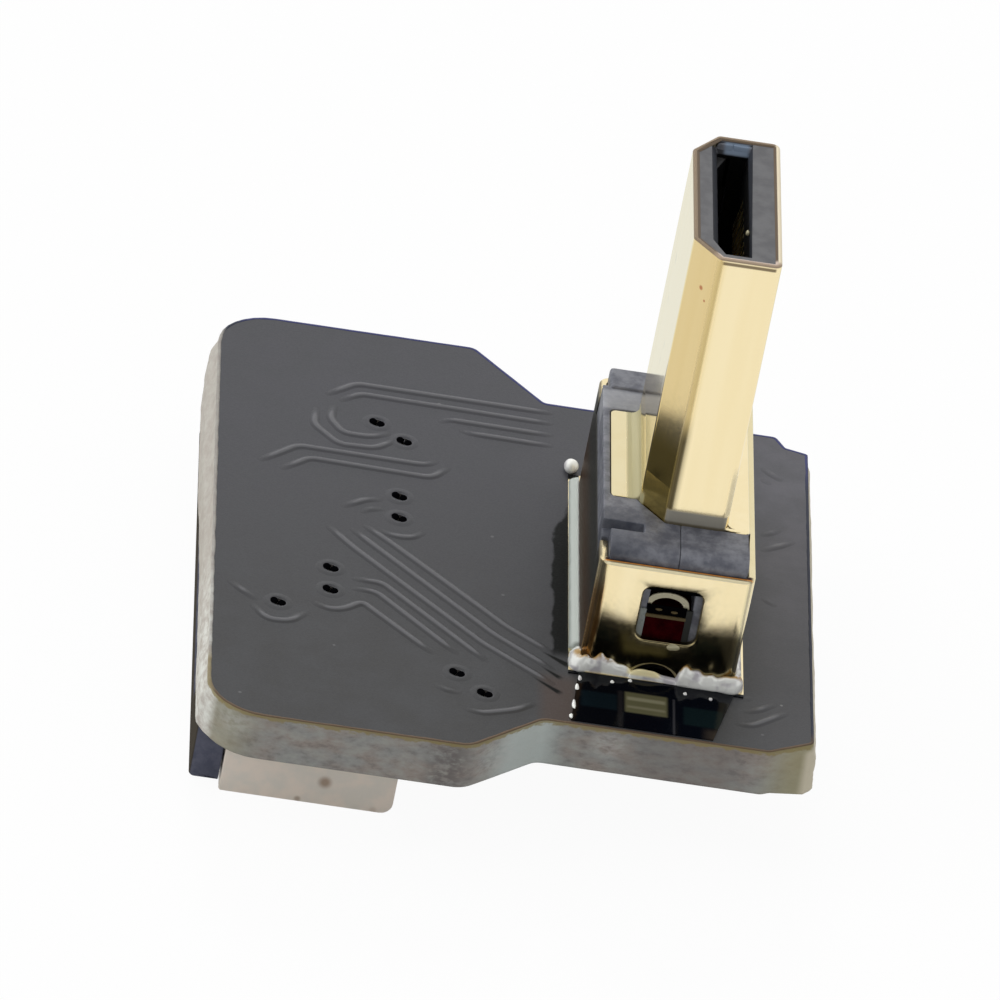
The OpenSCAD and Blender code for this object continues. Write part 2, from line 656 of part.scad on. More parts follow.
arch_x0 = seam_x + arch_dx - arch_w / 2;
arch_x1 = arch_x0 + arch_w;
module solder_front_left()
    solder_heap([[base_x0 - 0.05, 0.3, 0], [base_x0 + 0.35, 0.36, 0.02], [base_x0 + 0.75, 0.34, 0],
                 [arch_x0 - 0.25, 0.3, -0.05]]);
module solder_front_right()
    solder_heap([[arch_x1 + 0.25, 0.36, 0.02], [arch_x1 + 0.65, 0.34, 0], [base_x1 - 0.35, 0.32, 0],
                 [base_x1 + 0.05, 0.28, 0]]);

// The flat-cable connector is drawn under the board, with Z pointing down from its underside
module ribbon_frame() translate([0, housing_y, 0]) under() children();
function way_y(i) = (i - 1 - (ways - 1) / 2) * way_pitch;

arm_y = cavity_w / 2 + arm_dy;
arm_z = cable_z - arm_h / 2;
module ribbon_housing()
    color([0.78, 0.75, 0.7])
    ribbon_frame() difference() {
        along_y(0, housing_l)
            polygon(rounded([[housing_x0, slide_gap], [housing_x1, slide_gap], [housing_x1, housing_h],
                             [housing_x0, housing_h]], [0.05, 0.05, 0.3, 0.08]));
        block([housing_x0 - past, -cavity_w / 2, housing_wall + way_t],
              [cavity_x1, cavity_w / 2, housing_h - housing_wall]);
        for (i = [1:ways]) translate([0, way_y(i), 0]) {
            block([housing_x0 + throat_l, -way_w / 2 - fit_gap, housing_wall - fit_gap],
                  [cavity_x1, way_w / 2 + fit_gap, housing_wall + way_t + fit_gap]);
            block([stem_x - fit_gap, -way_w / 2 - fit_gap, -past],
                  [housing_x1 + past, way_w / 2 + fit_gap, housing_wall + way_t]);
        }
        for (s = [-1, 1])
            block([housing_x0 - past, s * arm_y - arm_w / 2 - slide_gap, arm_z - slide_gap],
                  [housing_x0 + tongue_l + slide_gap, s * arm_y + arm_w / 2 + slide_gap,
                   arm_z + arm_h + slide_gap]);
        for (s = [-1, 1]) hold_down_body(s, fit_gap);
    }

module ribbon_slider()
    color([0.2, 0.21, 0.26])
    ribbon_frame() {
        difference() {
            along_y(0, housing_l)
                polygon(rounded([[slider_x0, slide_gap * 2], [housing_x0 - slide_gap, slide_gap * 2],
                                 [housing_x0 - slide_gap, slider_h], [slider_x0, slider_h]],
                                [0.05, min_r, min_r, 0.15]));
            block([slider_x0 - past, -cable_w / 2, cable_z],
                  [housing_x0 + past, cable_w / 2, cable_z + cable_gap]);
            along_y(0, cable_w)
                polygon([[slider_x0 - fit_gap, cable_z - cable_lead], [slider_x0 + cable_lead, cable_z],
                         [slider_x0 + cable_lead, cable_z + cable_gap],
                         [slider_x0 - fit_gap, cable_z + cable_gap + cable_lead]]);
        }
        block([housing_x0 - 4 * slide_gap, -cable_w / 2, tongue_z],
              [housing_x0 + tongue_l, cable_w / 2, cable_z]);
        for (s = [-1, 1])
            block([housing_x0 - 4 * slide_gap, s * arm_y - arm_w / 2, arm_z],
                  [housing_x0 + tongue_l, s * arm_y + arm_w / 2, arm_z + arm_h]);
    }

// One contact: an upper and a lower arm, the stem that joins them, and the tail on its pad
tip_x = housing_x0 + throat_l + tip_gap;
stem_x = cavity_x1 - stem_t;
foot_x = housing_x1 + way_t;
tail_z = pad_t + way_t * 1.8;
low_z = housing_h - housing_wall - way_t;
module way_profile()
    polygon([[tip_x, housing_wall], [stem_x, housing_wall], [stem_x, tail_z], [foot_x, tail_z],
             [foot_x, pad_t], [foot_x + way_foot_l, pad_t], [foot_x + way_foot_l, pad_t + way_t],
             [foot_x + way_t, pad_t + way_t], [foot_x + way_t, tail_z + way_t],
             [cavity_x1 - fit_gap, tail_z + way_t], [cavity_x1 - fit_gap, low_z + way_t - fit_gap],
             [tip_x, low_z + way_t - fit_gap], [tip_x, low_z - nose_h], [tip_x + nose_l / 2, low_z - nose_h],
             [tip_x + nose_l, low_z], [stem_x, low_z], [stem_x, housing_wall + way_t],
             [tip_x, housing_wall + way_t]]);

module ribbon_contact(i)
    color([0.85, 0.8, 0.6])
    ribbon_frame() along_y(way_y(i), way_w) way_profile();

// A sheet-metal tab in each end of the housing, with its foot on the board
tab_x1 = housing_x1 - tab_dx;
tab_x0 = tab_x1 - tab_l;
tab_foot = tab_in + tab_out;
module hold_down_body(side, gap)
    translate([0, side * (housing_l / 2 - tab_in), 0]) {
        block([tab_x0 - gap, -way_t / 2 - gap, pad_t],
              [tab_x1 + gap, way_t / 2 + gap, housing_h - tab_cover + gap]);
        block([tab_x0 - gap, min(0, side * tab_foot) - gap, pad_t],
              [tab_x1 + gap, max(0, side * tab_foot) + gap, pad_t + way_t + gap]);
    }
module hold_down_front() color([0.75, 0.75, 0.73]) ribbon_frame() hold_down_body(-1, 0);
module hold_down_back() color([0.75, 0.75, 0.73]) ribbon_frame() hold_down_body(1, 0);

module ribbon_pads()
    color([0.8, 0.78, 0.65])
    ribbon_frame() {
        for (i = [1:ways])
            block([housing_x1, way_y(i) - way_w / 2 - pad_rim, 0],
                  [foot_x + way_foot_l + pad_toe, way_y(i) + way_w / 2 + pad_rim, pad_t]);
        for (side = [0, 1]) mirror([0, side, 0])
            block([tab_x0 - pad_toe, housing_l / 2 - tab_in - pad_toe, 0],
                  [tab_x1 + pad_toe, housing_l / 2 + tab_out + pad_rim, pad_t]);
    }

circuit_board();
board_tracks();
ground_pad();
plug_pads();
ribbon_pads();
plug_shell();
base_shell();
insulator_left();
insulator_right();
tail_spacer();
solder_front_left();
solder_front_right();
solder_left();
solder_right();
solder_back();
ribbon_housing();
ribbon_slider();
hold_down_front();
hold_down_back();
for (i = [1:contacts]) plug_contact(i);
for (i = [1:ways]) ribbon_contact(i);
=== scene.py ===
"""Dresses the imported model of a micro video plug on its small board, and sets up a plain studio round it.

Lengths are in millimetres until a mesh or a lamp is made. X runs from the cable end to the plug end, Y from
front to back and Z up along the plug. The board's underside is at z = 0, and the plug's axis at x = y = 0.
"""
import math
from functools import cached_property

import bmesh
import bpy
import numpy as np
from mathutils import Matrix, Vector

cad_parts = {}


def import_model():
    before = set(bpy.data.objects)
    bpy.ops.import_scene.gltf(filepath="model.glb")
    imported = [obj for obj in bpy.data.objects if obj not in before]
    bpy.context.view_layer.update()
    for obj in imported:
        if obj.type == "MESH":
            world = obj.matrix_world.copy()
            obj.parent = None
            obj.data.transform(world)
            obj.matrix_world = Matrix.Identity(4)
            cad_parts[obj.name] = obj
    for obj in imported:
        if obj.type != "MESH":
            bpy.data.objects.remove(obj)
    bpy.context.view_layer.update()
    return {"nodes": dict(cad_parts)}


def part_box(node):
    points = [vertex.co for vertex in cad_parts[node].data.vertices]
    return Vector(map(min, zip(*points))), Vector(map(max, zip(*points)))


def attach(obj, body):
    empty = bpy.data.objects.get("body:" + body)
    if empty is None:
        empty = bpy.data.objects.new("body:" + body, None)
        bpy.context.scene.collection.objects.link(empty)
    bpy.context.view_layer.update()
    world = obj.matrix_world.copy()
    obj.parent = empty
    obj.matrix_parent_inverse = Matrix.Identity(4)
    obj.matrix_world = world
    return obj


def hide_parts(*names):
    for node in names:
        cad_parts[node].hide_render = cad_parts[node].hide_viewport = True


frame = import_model()
MM = 0.001


def box_of(node):
    """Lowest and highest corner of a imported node, in millimetres."""
    return tuple(np.array(corner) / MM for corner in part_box(node))


# Main sizes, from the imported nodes
BASE_LOW, BASE_HIGH = box_of("base_shell")
PLUG_LOW, PLUG_HIGH = box_of("plug_shell")
HOUSING_LOW = box_of("ribbon_housing")[0]
SPACER_LOW = box_of("tail_spacer")[0]
BOARD_TOP, PAD_TOP = (corner[2] for corner in box_of("ground_pad"))
FLOOR_Z = HOUSING_LOW[2]

# The board's outline
BOARD_L = 15.05
BOARD_W = 18.35
PLUG_TO_END = 3.85
PLUG_TO_FRONT = 8.65
NECK_W = 14.55
PLUG_TO_NECK = 7.0
SHOULDER_X = 6.5
SHOULDER_L = 1.8
NOTCH_L = 0.8
NOTCH_D = 0.6
END_CUT_L = 1.1
END_CUT_D = 0.65
WEB_OUT = 0.14
BOARD_X0 = PLUG_TO_END - BOARD_L
BOARD_Y0 = -PLUG_TO_FRONT
BOARD_Y1 = BOARD_W - PLUG_TO_FRONT
NECK_Y0 = -PLUG_TO_NECK
NECK_Y1 = NECK_W - PLUG_TO_NECK

# Places of the vias
VIAS = ((-7.15, 5.5), (-6.45, 4.8), (-6.55, 2.2), (-6.55, 1.2), (-8.25, -1.55), (-8.25, -2.55),
        (-9.55, -3.45), (-5.05, -5.5), (-4.35, -6.25))

# Places on the finishes: the foot of the barrel, the rise to its front face and to above its foot, and the
# pad's edge along the base
PLUG_FOOT = 5.22
BARREL_FRONT = (-2.86, -2.9)
ABOVE_FOOT = (5.2, 5.3)
PAD_FRONT = BASE_LOW[1] - 0.12

# Routes of the tracks under the mask
TRACK_END = BASE_LOW[0] - 0.5
ROUTES = (
    ((TRACK_END, 7.15), (-7.7, 7.2), (-8.55, 6.4)),
    ((TRACK_END, 6.65), (-7.6, 6.75), (-8.2, 6.2)),
    ((TRACK_END, 6.1), (-5.35, 6.15), (-5.65, 5.85)),
    ((TRACK_END, 5.6), (-4.9, 5.65), (-5.15, 5.8)),
    ((-8.2, 6.2), (-8.35, 5.4), (-8.0, 4.8), (-7.3, 4.8), (-6.7, 5.15)),
    ((-8.7, 6.0), (-8.75, 5.0), (-8.1, 4.25), (-7.2, 4.3), (-6.5, 4.95)),
    ((-10.2, 2.85), (-9.15, 3.9), (-6.05, 3.85), (-5.8, 3.9), (-5.5, 4.2)),
    ((-9.65, 2.6), (-8.85, 3.4), (-5.75, 3.3), (-5.2, 4)),
    ((-8.1, 1.25), (-7.4, 1.85), (-6.85, 1.95)),
    ((-7.6, 1.1), (-7.3, 1.45), (-6.8, 1.5)),
    ((-7.2, 0.6), (-6.75, 0.35), (-6.25, 0.35), (-5.8, 0.8)),
    ((-7.55, 0.75), (-6.75, 0), (-3.8, -3.1), (TRACK_END, -4.1)),
    ((-7.85, 0.5), (-7.3, -0.1), (-4.15, -3.5), (TRACK_END, -4.85)),
    ((-8.45, 0.5), (-7.7, -0.45), (-4.4, -4), (TRACK_END, -5.5)),
    ((-7.85, -1.9), (-6.95, -1.9), (-4.2, -4.9)),
    ((-7.85, -2.35), (-7.1, -2.35), (-4.95, -4.75)),
    ((-8.8, -3.15), (-8.3, -3.45), (-7.9, -3.35), (-7.45, -2.9), (-5.55, -4.9)),
    ((-10.3, -3.6), (-9.8, -4.3), (-9.25, -4.25), (-8.7, -3.6)),
    ((-10.9, -2.7), (-10.0, -3.6)),
    ((-5.7, -6.05), (-5.35, -6.35), (-4.8, -6.4)),
    ((-5, -7.05), (-4.4, -7.15), (-3.6, -6.8), (-3, -6.3)),
    ((2.6, 6.1), (3.3, 5.45)),
    ((2.6, 5.6), (3, 5.2)),
    ((2.65, 3.35), (2.9, 3.5)),
    ((2.55, 2.75), (3.25, 3.3)),
    ((2.55, 2.05), (3.6, 2.85)),
    ((2.55, 0.05), (3.1, -0.45)),
    ((2.5, -0.5), (2.7, -0.7)),
    ((2.05, -5), (2.45, -4.55)),
    ((2, -5.4), (2.35, -5.35), (3.05, -4.75)),
    ((1.8, -5.95), (2.3, -6), (3.35, -5.05)),
)


# Shader arithmetic

class Number:
    """A shader socket that takes part in arithmetic: each operator adds one Math node."""

    def __init__(self, tree, socket):
        self.tree = tree
        self.socket = socket

    def math(self, operation, *terms):
        node = self.tree.nodes.new("ShaderNodeMath")
        node.operation = operation
        for socket, term in zip(node.inputs, terms):
            if isinstance(term, Number):
                self.tree.links.new(term.socket, socket)
            else:
                socket.default_value = term
        return Number(self.tree, node.outputs[0])

    def __add__(self, other):
        return self.math("ADD", self, other)

    def __sub__(self, other):
        return self.math("SUBTRACT", self, other)

    def __rsub__(self, other):
        return self.math("SUBTRACT", other, self)

    def __mul__(self, other):
        return self.math("MULTIPLY", self, other)

    def __abs__(self):
        return self.math("ABSOLUTE", self)

    __radd__ = __add__
    __rmul__ = __mul__


class Nodes:
    """The node tree of a material or a world. node() adds any node, and the rest are its common uses. at is
    the place on the object in millimetres, and x, y and z are its coordinates."""

    def __init__(self, owner):
        owner.use_nodes = True
        self.owner = owner
        self.tree = owner.node_tree
        self.tree.nodes.clear()

    def node(self, kind, settings=None, values=None, output=0):
        """Adds a node, sets its settings, then its sockets' values or links, and returns one output."""
        node = self.tree.nodes.new(kind)
        for name, setting in (settings or {}).items():
            setattr(node, name, setting)
        for key, value in (values or {}).items():
            socket = node.inputs[key]
            if isinstance(value, Number):
                self.tree.links.new(value.socket, socket)
            else:
                socket.default_value = value
        return Number(self.tree, node.outputs[output]) if node.outputs else None

    @cached_property
    def at(self):
        here = self.node("ShaderNodeTexCoord", output="Object")
        return self.node("ShaderNodeVectorMath", {"operation": "SCALE"}, {0: here, "Scale": 1 / MM})

    x = cached_property(lambda self: self.node("ShaderNodeSeparateXYZ", None, {0: self.at}, "X"))
    y = cached_property(lambda self: self.node("ShaderNodeSeparateXYZ", None, {0: self.at}, "Y"))
    z = cached_property(lambda self: self.node("ShaderNodeSeparateXYZ", None, {0: self.at}, "Z"))

    def noise(self, scale, detail=3.0, roughness=0.55, squeeze=None):
        """Soft noise. squeeze multiplies each axis first, which stretches the noise the other way."""
        place = self.at
        if squeeze:
            place = self.node("ShaderNodeVectorMath", {"operation": "MULTIPLY"}, {0: place, 1: squeeze})
        return self.node("ShaderNodeTexNoise", None,
                         {"Vector": place, "Scale": scale, "Detail": detail, "Roughness": roughness})

    def ease(self, value, start, end, low=0.0, high=1.0):
        """Goes smoothly from low to high as the value goes from start to end, and stays there."""
        return self.node("ShaderNodeMapRange", {"interpolation_type": "SMOOTHSTEP"},
                         {0: value, 1: start, 2: end, 3: low, 4: high})

    def ramp(self, value, start, end, low, high):
        """Goes straight from low to high as the value goes from start to end."""
        return self.node("ShaderNodeMapRange", None, {0: value, 1: start, 2: end, 3: low, 4: high})

    def band(self, value, low, high, soft):
        """1 between low and high, falling to 0 over soft on either side."""
        return self.ease(value, low - soft, low + soft) * self.ease(value, high + soft, high - soft)

    def where(self, **ranges):
        """1 where each coordinate that is named lies in its range. Two numbers are a rise from the first to
        the second, and three are a band with its softness."""
        parts = [(self.ease if len(limits) == 2 else self.band)(getattr(self, letter), *limits)
                 for letter, limits in ranges.items()]
        return math.prod(parts[1:], start=parts[0])

    def spot(self, centre, inner, outer):
        """1 within inner of the centre, falling to 0 at outer."""
        far = self.node("ShaderNodeVectorMath", {"operation": "DISTANCE"}, {0: self.at, 1: centre}, 1)
        return self.ease(far, inner, outer, 1.0, 0.0)

    def spike(self, start, end, width):
        """1 in a spike over X and Y, which grows from nothing at its start to that half width at its end."""
        run = np.subtract(end, start)
        length = float(np.hypot(*run))
        dx, dy = (run / length).tolist()
        along = (self.x - start[0]) * dx + (self.y - start[1]) * dy
        across = abs((self.y - start[1]) * dx - (self.x - start[0]) * dy)
        inside = self.ease(across - along * (width / length), 0.035, -0.035)
        ends = self.ease(along, 0.0, length * 0.5) * self.ease(along, length + 0.1, length - 0.1)
        return inside * ends

    def blend(self, factor, first, second):
        """Mixes two colours."""
        ends = [c if isinstance(c, Number) else (*c, 1.0) for c in (first, second)]
        return self.node("ShaderNodeMix", {"data_type": "RGBA"}, {0: factor, 6: ends[0], 7: ends[1]}, 2)

    def cloudy(self, value, low, high, first, second):
        """Goes from the first colour to the second as the value goes from low to high."""
        return self.blend(self.ease(value, low, high), first, second)

    def coats(self, ground, *coats):
        """A ground colour with coats over it, each (how much, colour)."""
        for amount, tone in coats:
            ground = self.blend(amount, ground, tone)
        return ground

    def bump(self, height, depth):
        """A normal tilted by a height from 0 to 1 that stands for that depth in millimetres."""
        return self.node("ShaderNodeBump", None, {"Height": height, "Distance": depth * MM, "Strength": 1.0})

    def finish(self, colour, roughness, normal=None, metallic=0.0, shine=0.5):
        """Ends a material with a Principled surface of these values, and returns it."""
        colour = colour if isinstance(colour, Number) else (*colour, 1.0)
        values = {"Base Color": colour, "Roughness": roughness, "Metallic": metallic,
                  "Specular IOR Level": shine}
        if normal:
            values["Normal"] = normal
        shader = self.node("ShaderNodeBsdfPrincipled", None, values)
        self.node("ShaderNodeOutputMaterial", None, {"Surface": shader})
        return self.owner


def nodes_of(name):
    return Nodes(bpy.data.materials.new(name))


# Finishes

def solder_mask(name, sides=False, ridges=False):
    """Satin dark grey mask, darker at the front, with faint clouds and a few spots. Beside the base it has a
    band of painted reflection of the base's dark wall and three spikes of painted shadow, made partly metallic
    to darken their gloss. Where sides is True, what lies between its two faces has the laminate's colour.
    Where ridges is True, it is paler on the crests, where the mask is thin and a painted highlight is added,
    and darker at their feet with painted shade."""
    n = nodes_of(name)
    clouds = n.noise(0.8)
    grain = n.noise(24.0, 2.0)
    above = n.where(z=(0.6, 1.0))
    # Painted reflection of the base's dark wall: a band with a ragged edge beside the base, narrower towards
    # the back.
    ragged = n.x + n.ease(n.noise(2.5, squeeze=(1.0, 0.6, 1.0)), 0.3, 0.7, -0.05, 0.05)
    ragged = ragged - n.ease(n.y, 1.0, 3.6, 0.0, 0.5)
    shade = n.ease(ragged, -2.72, -2.62) * n.where(y=(-4.0, 4.2, 0.25), x=(-2.0, -2.1))
    # Three spikes of painted shadow among the tracks by the base's front left corner.
    for start, end, width in MASK_SHADE_SPIKES:
        shade = shade + n.spike(start, end, width) * n.ease(shade, 0.5, 0.0)
    shade = shade * above
    colour = n.coats(
        n.blend(n.where(y=(-7.5, 7.0)), MASK_FRONT, MASK_BACK),
        (n.where(x=(1.9, 3.0)) * n.ease(n.y, -6.0, 4.0, 0.2, 1.0), MASK_RIGHT),
        (n.ease(clouds, 0.3, 0.7, 0.0, 0.5), MASK_CLOUD),
        (n.where(x=(-2.95, -2.1, 0.2), y=(-7.2, -5.0, 0.3)) * above * 0.6, MASK_BROWN),
        (shade, MASK_SHADE),
        *((n.spot((*place, BOARD_TOP), size * 0.4, size) * amount, DUST)
          for place, size, amount in MASK_SPOTS))
    # Painted highlight on the ridges' crests, where the mask is also thinner, and painted shade at their feet.
    if ridges:
        foot, side, crest = BOARD_TOP + 0.006, BOARD_TOP + 0.018, BOARD_TOP + 0.04
        colour = n.coats(colour, (n.where(z=(side, crest)) * 0.6, MASK_CREST_HIGHLIGHT),
                         (n.where(z=(side, foot)) * 0.2, MASK_FOOT_SHADE))
    if sides:
        colour = n.blend(n.where(z=(0.02, BOARD_TOP - 0.02, 0.01)), colour, LAMINATE_MID)
    # The painted shade and reflection are partly metallic, which darkens their gloss.
    return n.finish(colour, n.ease(grain, 0.3, 0.7, 0.42, 0.52), n.bump(grain, 0.003), shade * 0.9, 0.35)


def laminate():
    """Sawn glass laminate: soft streaks of fibre along the edge, tan at the plug end and by the rounded
    corner, with painted light on the shoulder's slanted face and low on the plug end's face, and the mask's
    thin olive line along the top of its front faces and a dark one elsewhere."""
    n = nodes_of("laminate")
    fibres = n.noise(2.6, 5.0, 0.65, (1.0, 1.0, 1.9))
    tint = n.noise(0.9, 2.0, squeeze=(1.0, 1.0, 2.0))
    frays = n.noise(5.0, squeeze=(1.0, 1.0, 2.0))
    left = n.blend(n.where(y=(0.0, -5.0)), END_LIGHT, END_WHITE)
    ragged = n.z + n.ease(frays, 0.25, 0.75, -0.05, 0.05)
    front = n.where(y=(-5.8, -6.6))
    dark = n.blend(n.where(y=(5.0, 7.0), x=(-10.9, -10.4)), EDGE_DARK, EDGE_BLUE)
    colour = n.coats(
        n.cloudy(tint, 0.35, 0.65, LAMINATE_PINK, LAMINATE_BLUE),
        (n.ease(fibres, 0.42, 0.68, 0.0, 0.6), LAMINATE_LIGHT),
        (n.ease(fibres, 0.48, 0.3, 0.0, 0.5), LAMINATE_DARK),
        # Painted light on the shoulder's slanted face.
        (n.where(x=(-3.9, -2.5, 0.4)) * 0.85, LAMINATE_SHOULDER_LIT),
        (n.where(x=(-0.6, 2.2, 0.6)) * 0.45, LAMINATE_DARK),
        (n.where(x=(2.4, 3.6)) * 0.75, LAMINATE_TAN),
        # Painted light on the plug end's face, below the mask's edge.
        (n.where(x=(3.6, 3.85), z=(1.2, 1.0)), LAMINATE_END_LIT),
        (n.where(x=(-9.6, -10.6), y=(-6.5, -7.6)) * 0.4, LAMINATE_CREAM),
        (n.where(x=(-5.6, -4.7, 0.4)) * n.ease(frays, 0.3, 0.6, 0.2, 0.9), LAMINATE_DARK),
        (n.where(x=(-10.9, -11.15)), n.cloudy(fibres, 0.3, 0.7, END_DARK, left)),
        *((n.spot(place, size * 0.2, size) * n.ease(frays, 0.35, 0.6) * 0.35, FIBRE_WHITE)
          for place, size in LAMINATE_FRAYS),
        (n.ease(ragged, BOARD_TOP - 0.14, BOARD_TOP - 0.07) * front * 0.8, MASK_OLIVE),
        (n.where(z=(BOARD_TOP - 0.02, BOARD_TOP)) * n.ease(n.x, -11.2, -11.0, 0.25, 1.0),
         n.blend(front, dark, MASK_LIP)))
    return n.finish(colour, 0.6, n.bump(fibres + frays, 0.012), shine=0.3)


def gold(name, wave, zones, films, roughness, flare=0.0, lean=0.0):
    """Bright plated sheet with faint soft streaks along Z, whose depth is wave. zones are its stains and its
    places of painted reflection and shade: functions that give (how much, colour) from the nodes. films are
    places with a dull coat, in the same form, most of them painted reflection, shadow and highlight. flare is
    how far the plug's foot bends outwards, and lean how far the base's front wall leans, both in the
    surface's slope only."""
    n = nodes_of(name)
    streaks = n.noise(1.0, 2.0, 0.5, (1.8, 1.8, 0.1))
    fine = n.noise(9.0)
    dull_coats = [film(n) for film in films]
    ground = n.cloudy(streaks, 0.3, 0.7, GOLD_PALE, GOLD_DEEP)
    colour = n.coats(ground, *(zone(n) for zone in zones), *dull_coats)
    dull = sum((coat[0] for coat in dull_coats[1:]), dull_coats[0][0])
    foot = n.ramp(n.z, PLUG_FOOT, PLUG_FOOT + 0.58, flare, 0.0)
    front = n.where(y=(BASE_LOW[1] + 0.12, BASE_LOW[1] + 0.05))
    slope = n.ramp(n.z, BASE_LOW[2], BASE_HIGH[2], 0.0, lean) * front
    return n.finish(colour, n.ease(fine, 0.3, 0.8, roughness, roughness * 1.4) + dull * 0.3,
                    n.bump(streaks * wave + foot + slope, 1.0), 1.0 - dull * 0.97, 0.15)


def marks(places, colour, amount):
    """A zone of small round marks, each (place, size)."""
    def zone(n):
        spots = [n.spot(place, size * 0.3, size) for place, size in places]
        return sum(spots[1:], spots[0]) * amount, colour
    return zone


def tone_patch(tone, amount, **ranges):
    """A zone of one tone, that strong where its ranges say."""
    return lambda n: (n.where(**ranges) * amount, tone)


def mouth_rim(n):
    """The barrel's cut end, dull: brown, pinkish in front and pale at the right."""
    tone = n.blend(n.where(x=(0.96, 1.02)), RIM_BROWN, RIM_PALE)
    tone = n.blend(n.where(y=(-2.6, -2.8)), tone, RIM_PINK)
    return n.where(z=(PLUG_HIGH[2] - 0.05, PLUG_HIGH[2] - 0.03)) * 0.9, tone


def crease(n):
    """Painted reflection on the front beside the slanted corner: deeper in colour, and dark low down, as a
    wide soft bend would reflect.
    """
    near = n.where(x=(-0.2, -0.44), y=BARREL_FRONT, z=ABOVE_FOOT) * n.where(x=(-0.46, -0.42))
    low = n.where(z=(8.2, 7.2))
    return near * (low * 0.2 + 0.7), n.blend(low, SLANT_REFLECTION, DARK_REFLECTION)


def bends(n):
    """Painted reflection in a dull coat on the two bends of the barrel's front: olive and dark low down at the
    left, and cream at the right."""
    low = n.blend(n.where(x=(-0.5, -0.34)), BEND_DARK, BEND_BROWN)
    left = n.blend(n.where(z=(8.1, 7.2)), SLANT_REFLECTION, low)
    both = (n.where(x=(-0.5, -0.36, 0.03), y=(-2.79, -2.83))
            + n.where(x=(0.93, 1.0), y=(-2.6, -2.75), z=(6.8, 6.2)))
    below_rim = n.where(z=(PLUG_HIGH[2] - 0.06, PLUG_HIGH[2] - 0.09))
    return both * n.where(z=ABOVE_FOOT) * below_rim * 0.9, n.blend(n.where(x=(0.2, 0.6)), left, BEND_CREAM)


def plug_foot(n):
    """The grey foot of the barrel's front, with painted shadow along its bottom."""
    foot = n.where(z=(5.28, 5.2), y=(-2.82, -2.88), x=(-0.5, 1.15, 0.05))
    return foot * 0.85, n.blend(n.where(z=(4.95, 4.87)), FOOT_GREY, FOOT_SHADOW)


def left_wall_reflection(n):
    """Painted reflection of the dark board on the base's left wall: black high up and brown low down."""
    left, front = BASE_LOW[0], BASE_LOW[1]
    wall = n.where(x=(left + 0.08, left + 0.02), y=(front + 0.16, front + 0.36))
    tone = n.blend(n.where(z=(2.2, 3.4)), WALL_REFLECTION_BROWN, WALL_REFLECTION_BLACK)
    return wall * n.ease(n.z, 4.45, 4.2, 0.75, 1.0), tone


def seat_line(n):
    """Across the top of the front wall: cream outside, then orange and brown where it meets the plastic."""
    front = BASE_LOW[1]
    tone = n.coats(SEAT_PALE, (n.where(y=(front + 0.07, front + 0.12)), SEAT_ORANGE),
                   (n.where(y=(front + 0.12, front + 0.17)), SEAT_BROWN))
    return n.where(z=(BASE_HIGH[2] - 0.07, BASE_HIGH[2] - 0.04), x=(BASE_LOW[0] + 0.12, 1.8, 0.05),
                   y=(front + 0.3, front + 0.24)), tone


def arch_highlight(n):
    """A painted highlight: the pale edge of the arch low in the front wall."""
    across, up = (n.x + 0.16) * (1 / 0.6), (n.z - BOARD_TOP) * (1 / 0.45)
    line = n.band(across * across + up * up, 0.99, 1.2, 0.04)
    return line * n.where(y=(BASE_LOW[1] + 0.05, BASE_LOW[1] + 0.02), z=(2.0, 1.9)) * 0.4, ARCH_HIGHLIGHT


def tail_finish():
    """Plated copper that is bright round the base. Its tail is dark and glossy, a painted reflection of the
    base's dark front, with panels of painted reflection of the front wall and its window, and it is dark with
    painted shadow by the base's back left corner.
    """
    n = nodes_of("plated_copper")
    fine = n.noise(9.0)
    # Painted reflection on the tail, and painted shadow by the base's back left corner.
    tail = (n.where(y=(PAD_FRONT, PAD_FRONT - 0.04))
            + n.where(x=(BASE_LOW[0] + 0.05, BASE_LOW[0]), y=(BASE_HIGH[1], BASE_HIGH[1] + 0.05)))
    colour = n.coats(GOLD_PALE, (tail, n.blend(n.where(x=(-2.0, 1.4)), TAIL_REFLECTION_BLACK, TAIL_REFLECTION_BLUE)),
                     *((n.where(x=(x0, x1, soft), y=(y0, y1, soft)), tone)
                       for x0, x1, y0, y1, tone, soft in PAD_REFLECTIONS))
    return n.finish(colour, n.ease(fine, 0.3, 0.7, 0.06, 0.12), n.bump(fine, 0.002), 1.0 - tail, 0.12)


def back_slope(n):
    """The slope at the back of the slot, which takes painted light in pale blue."""
    return n.where(y=(SLOT_Y - 0.05, SLOT_Y + 0.02), x=(-0.27, 0.34, 0.06))


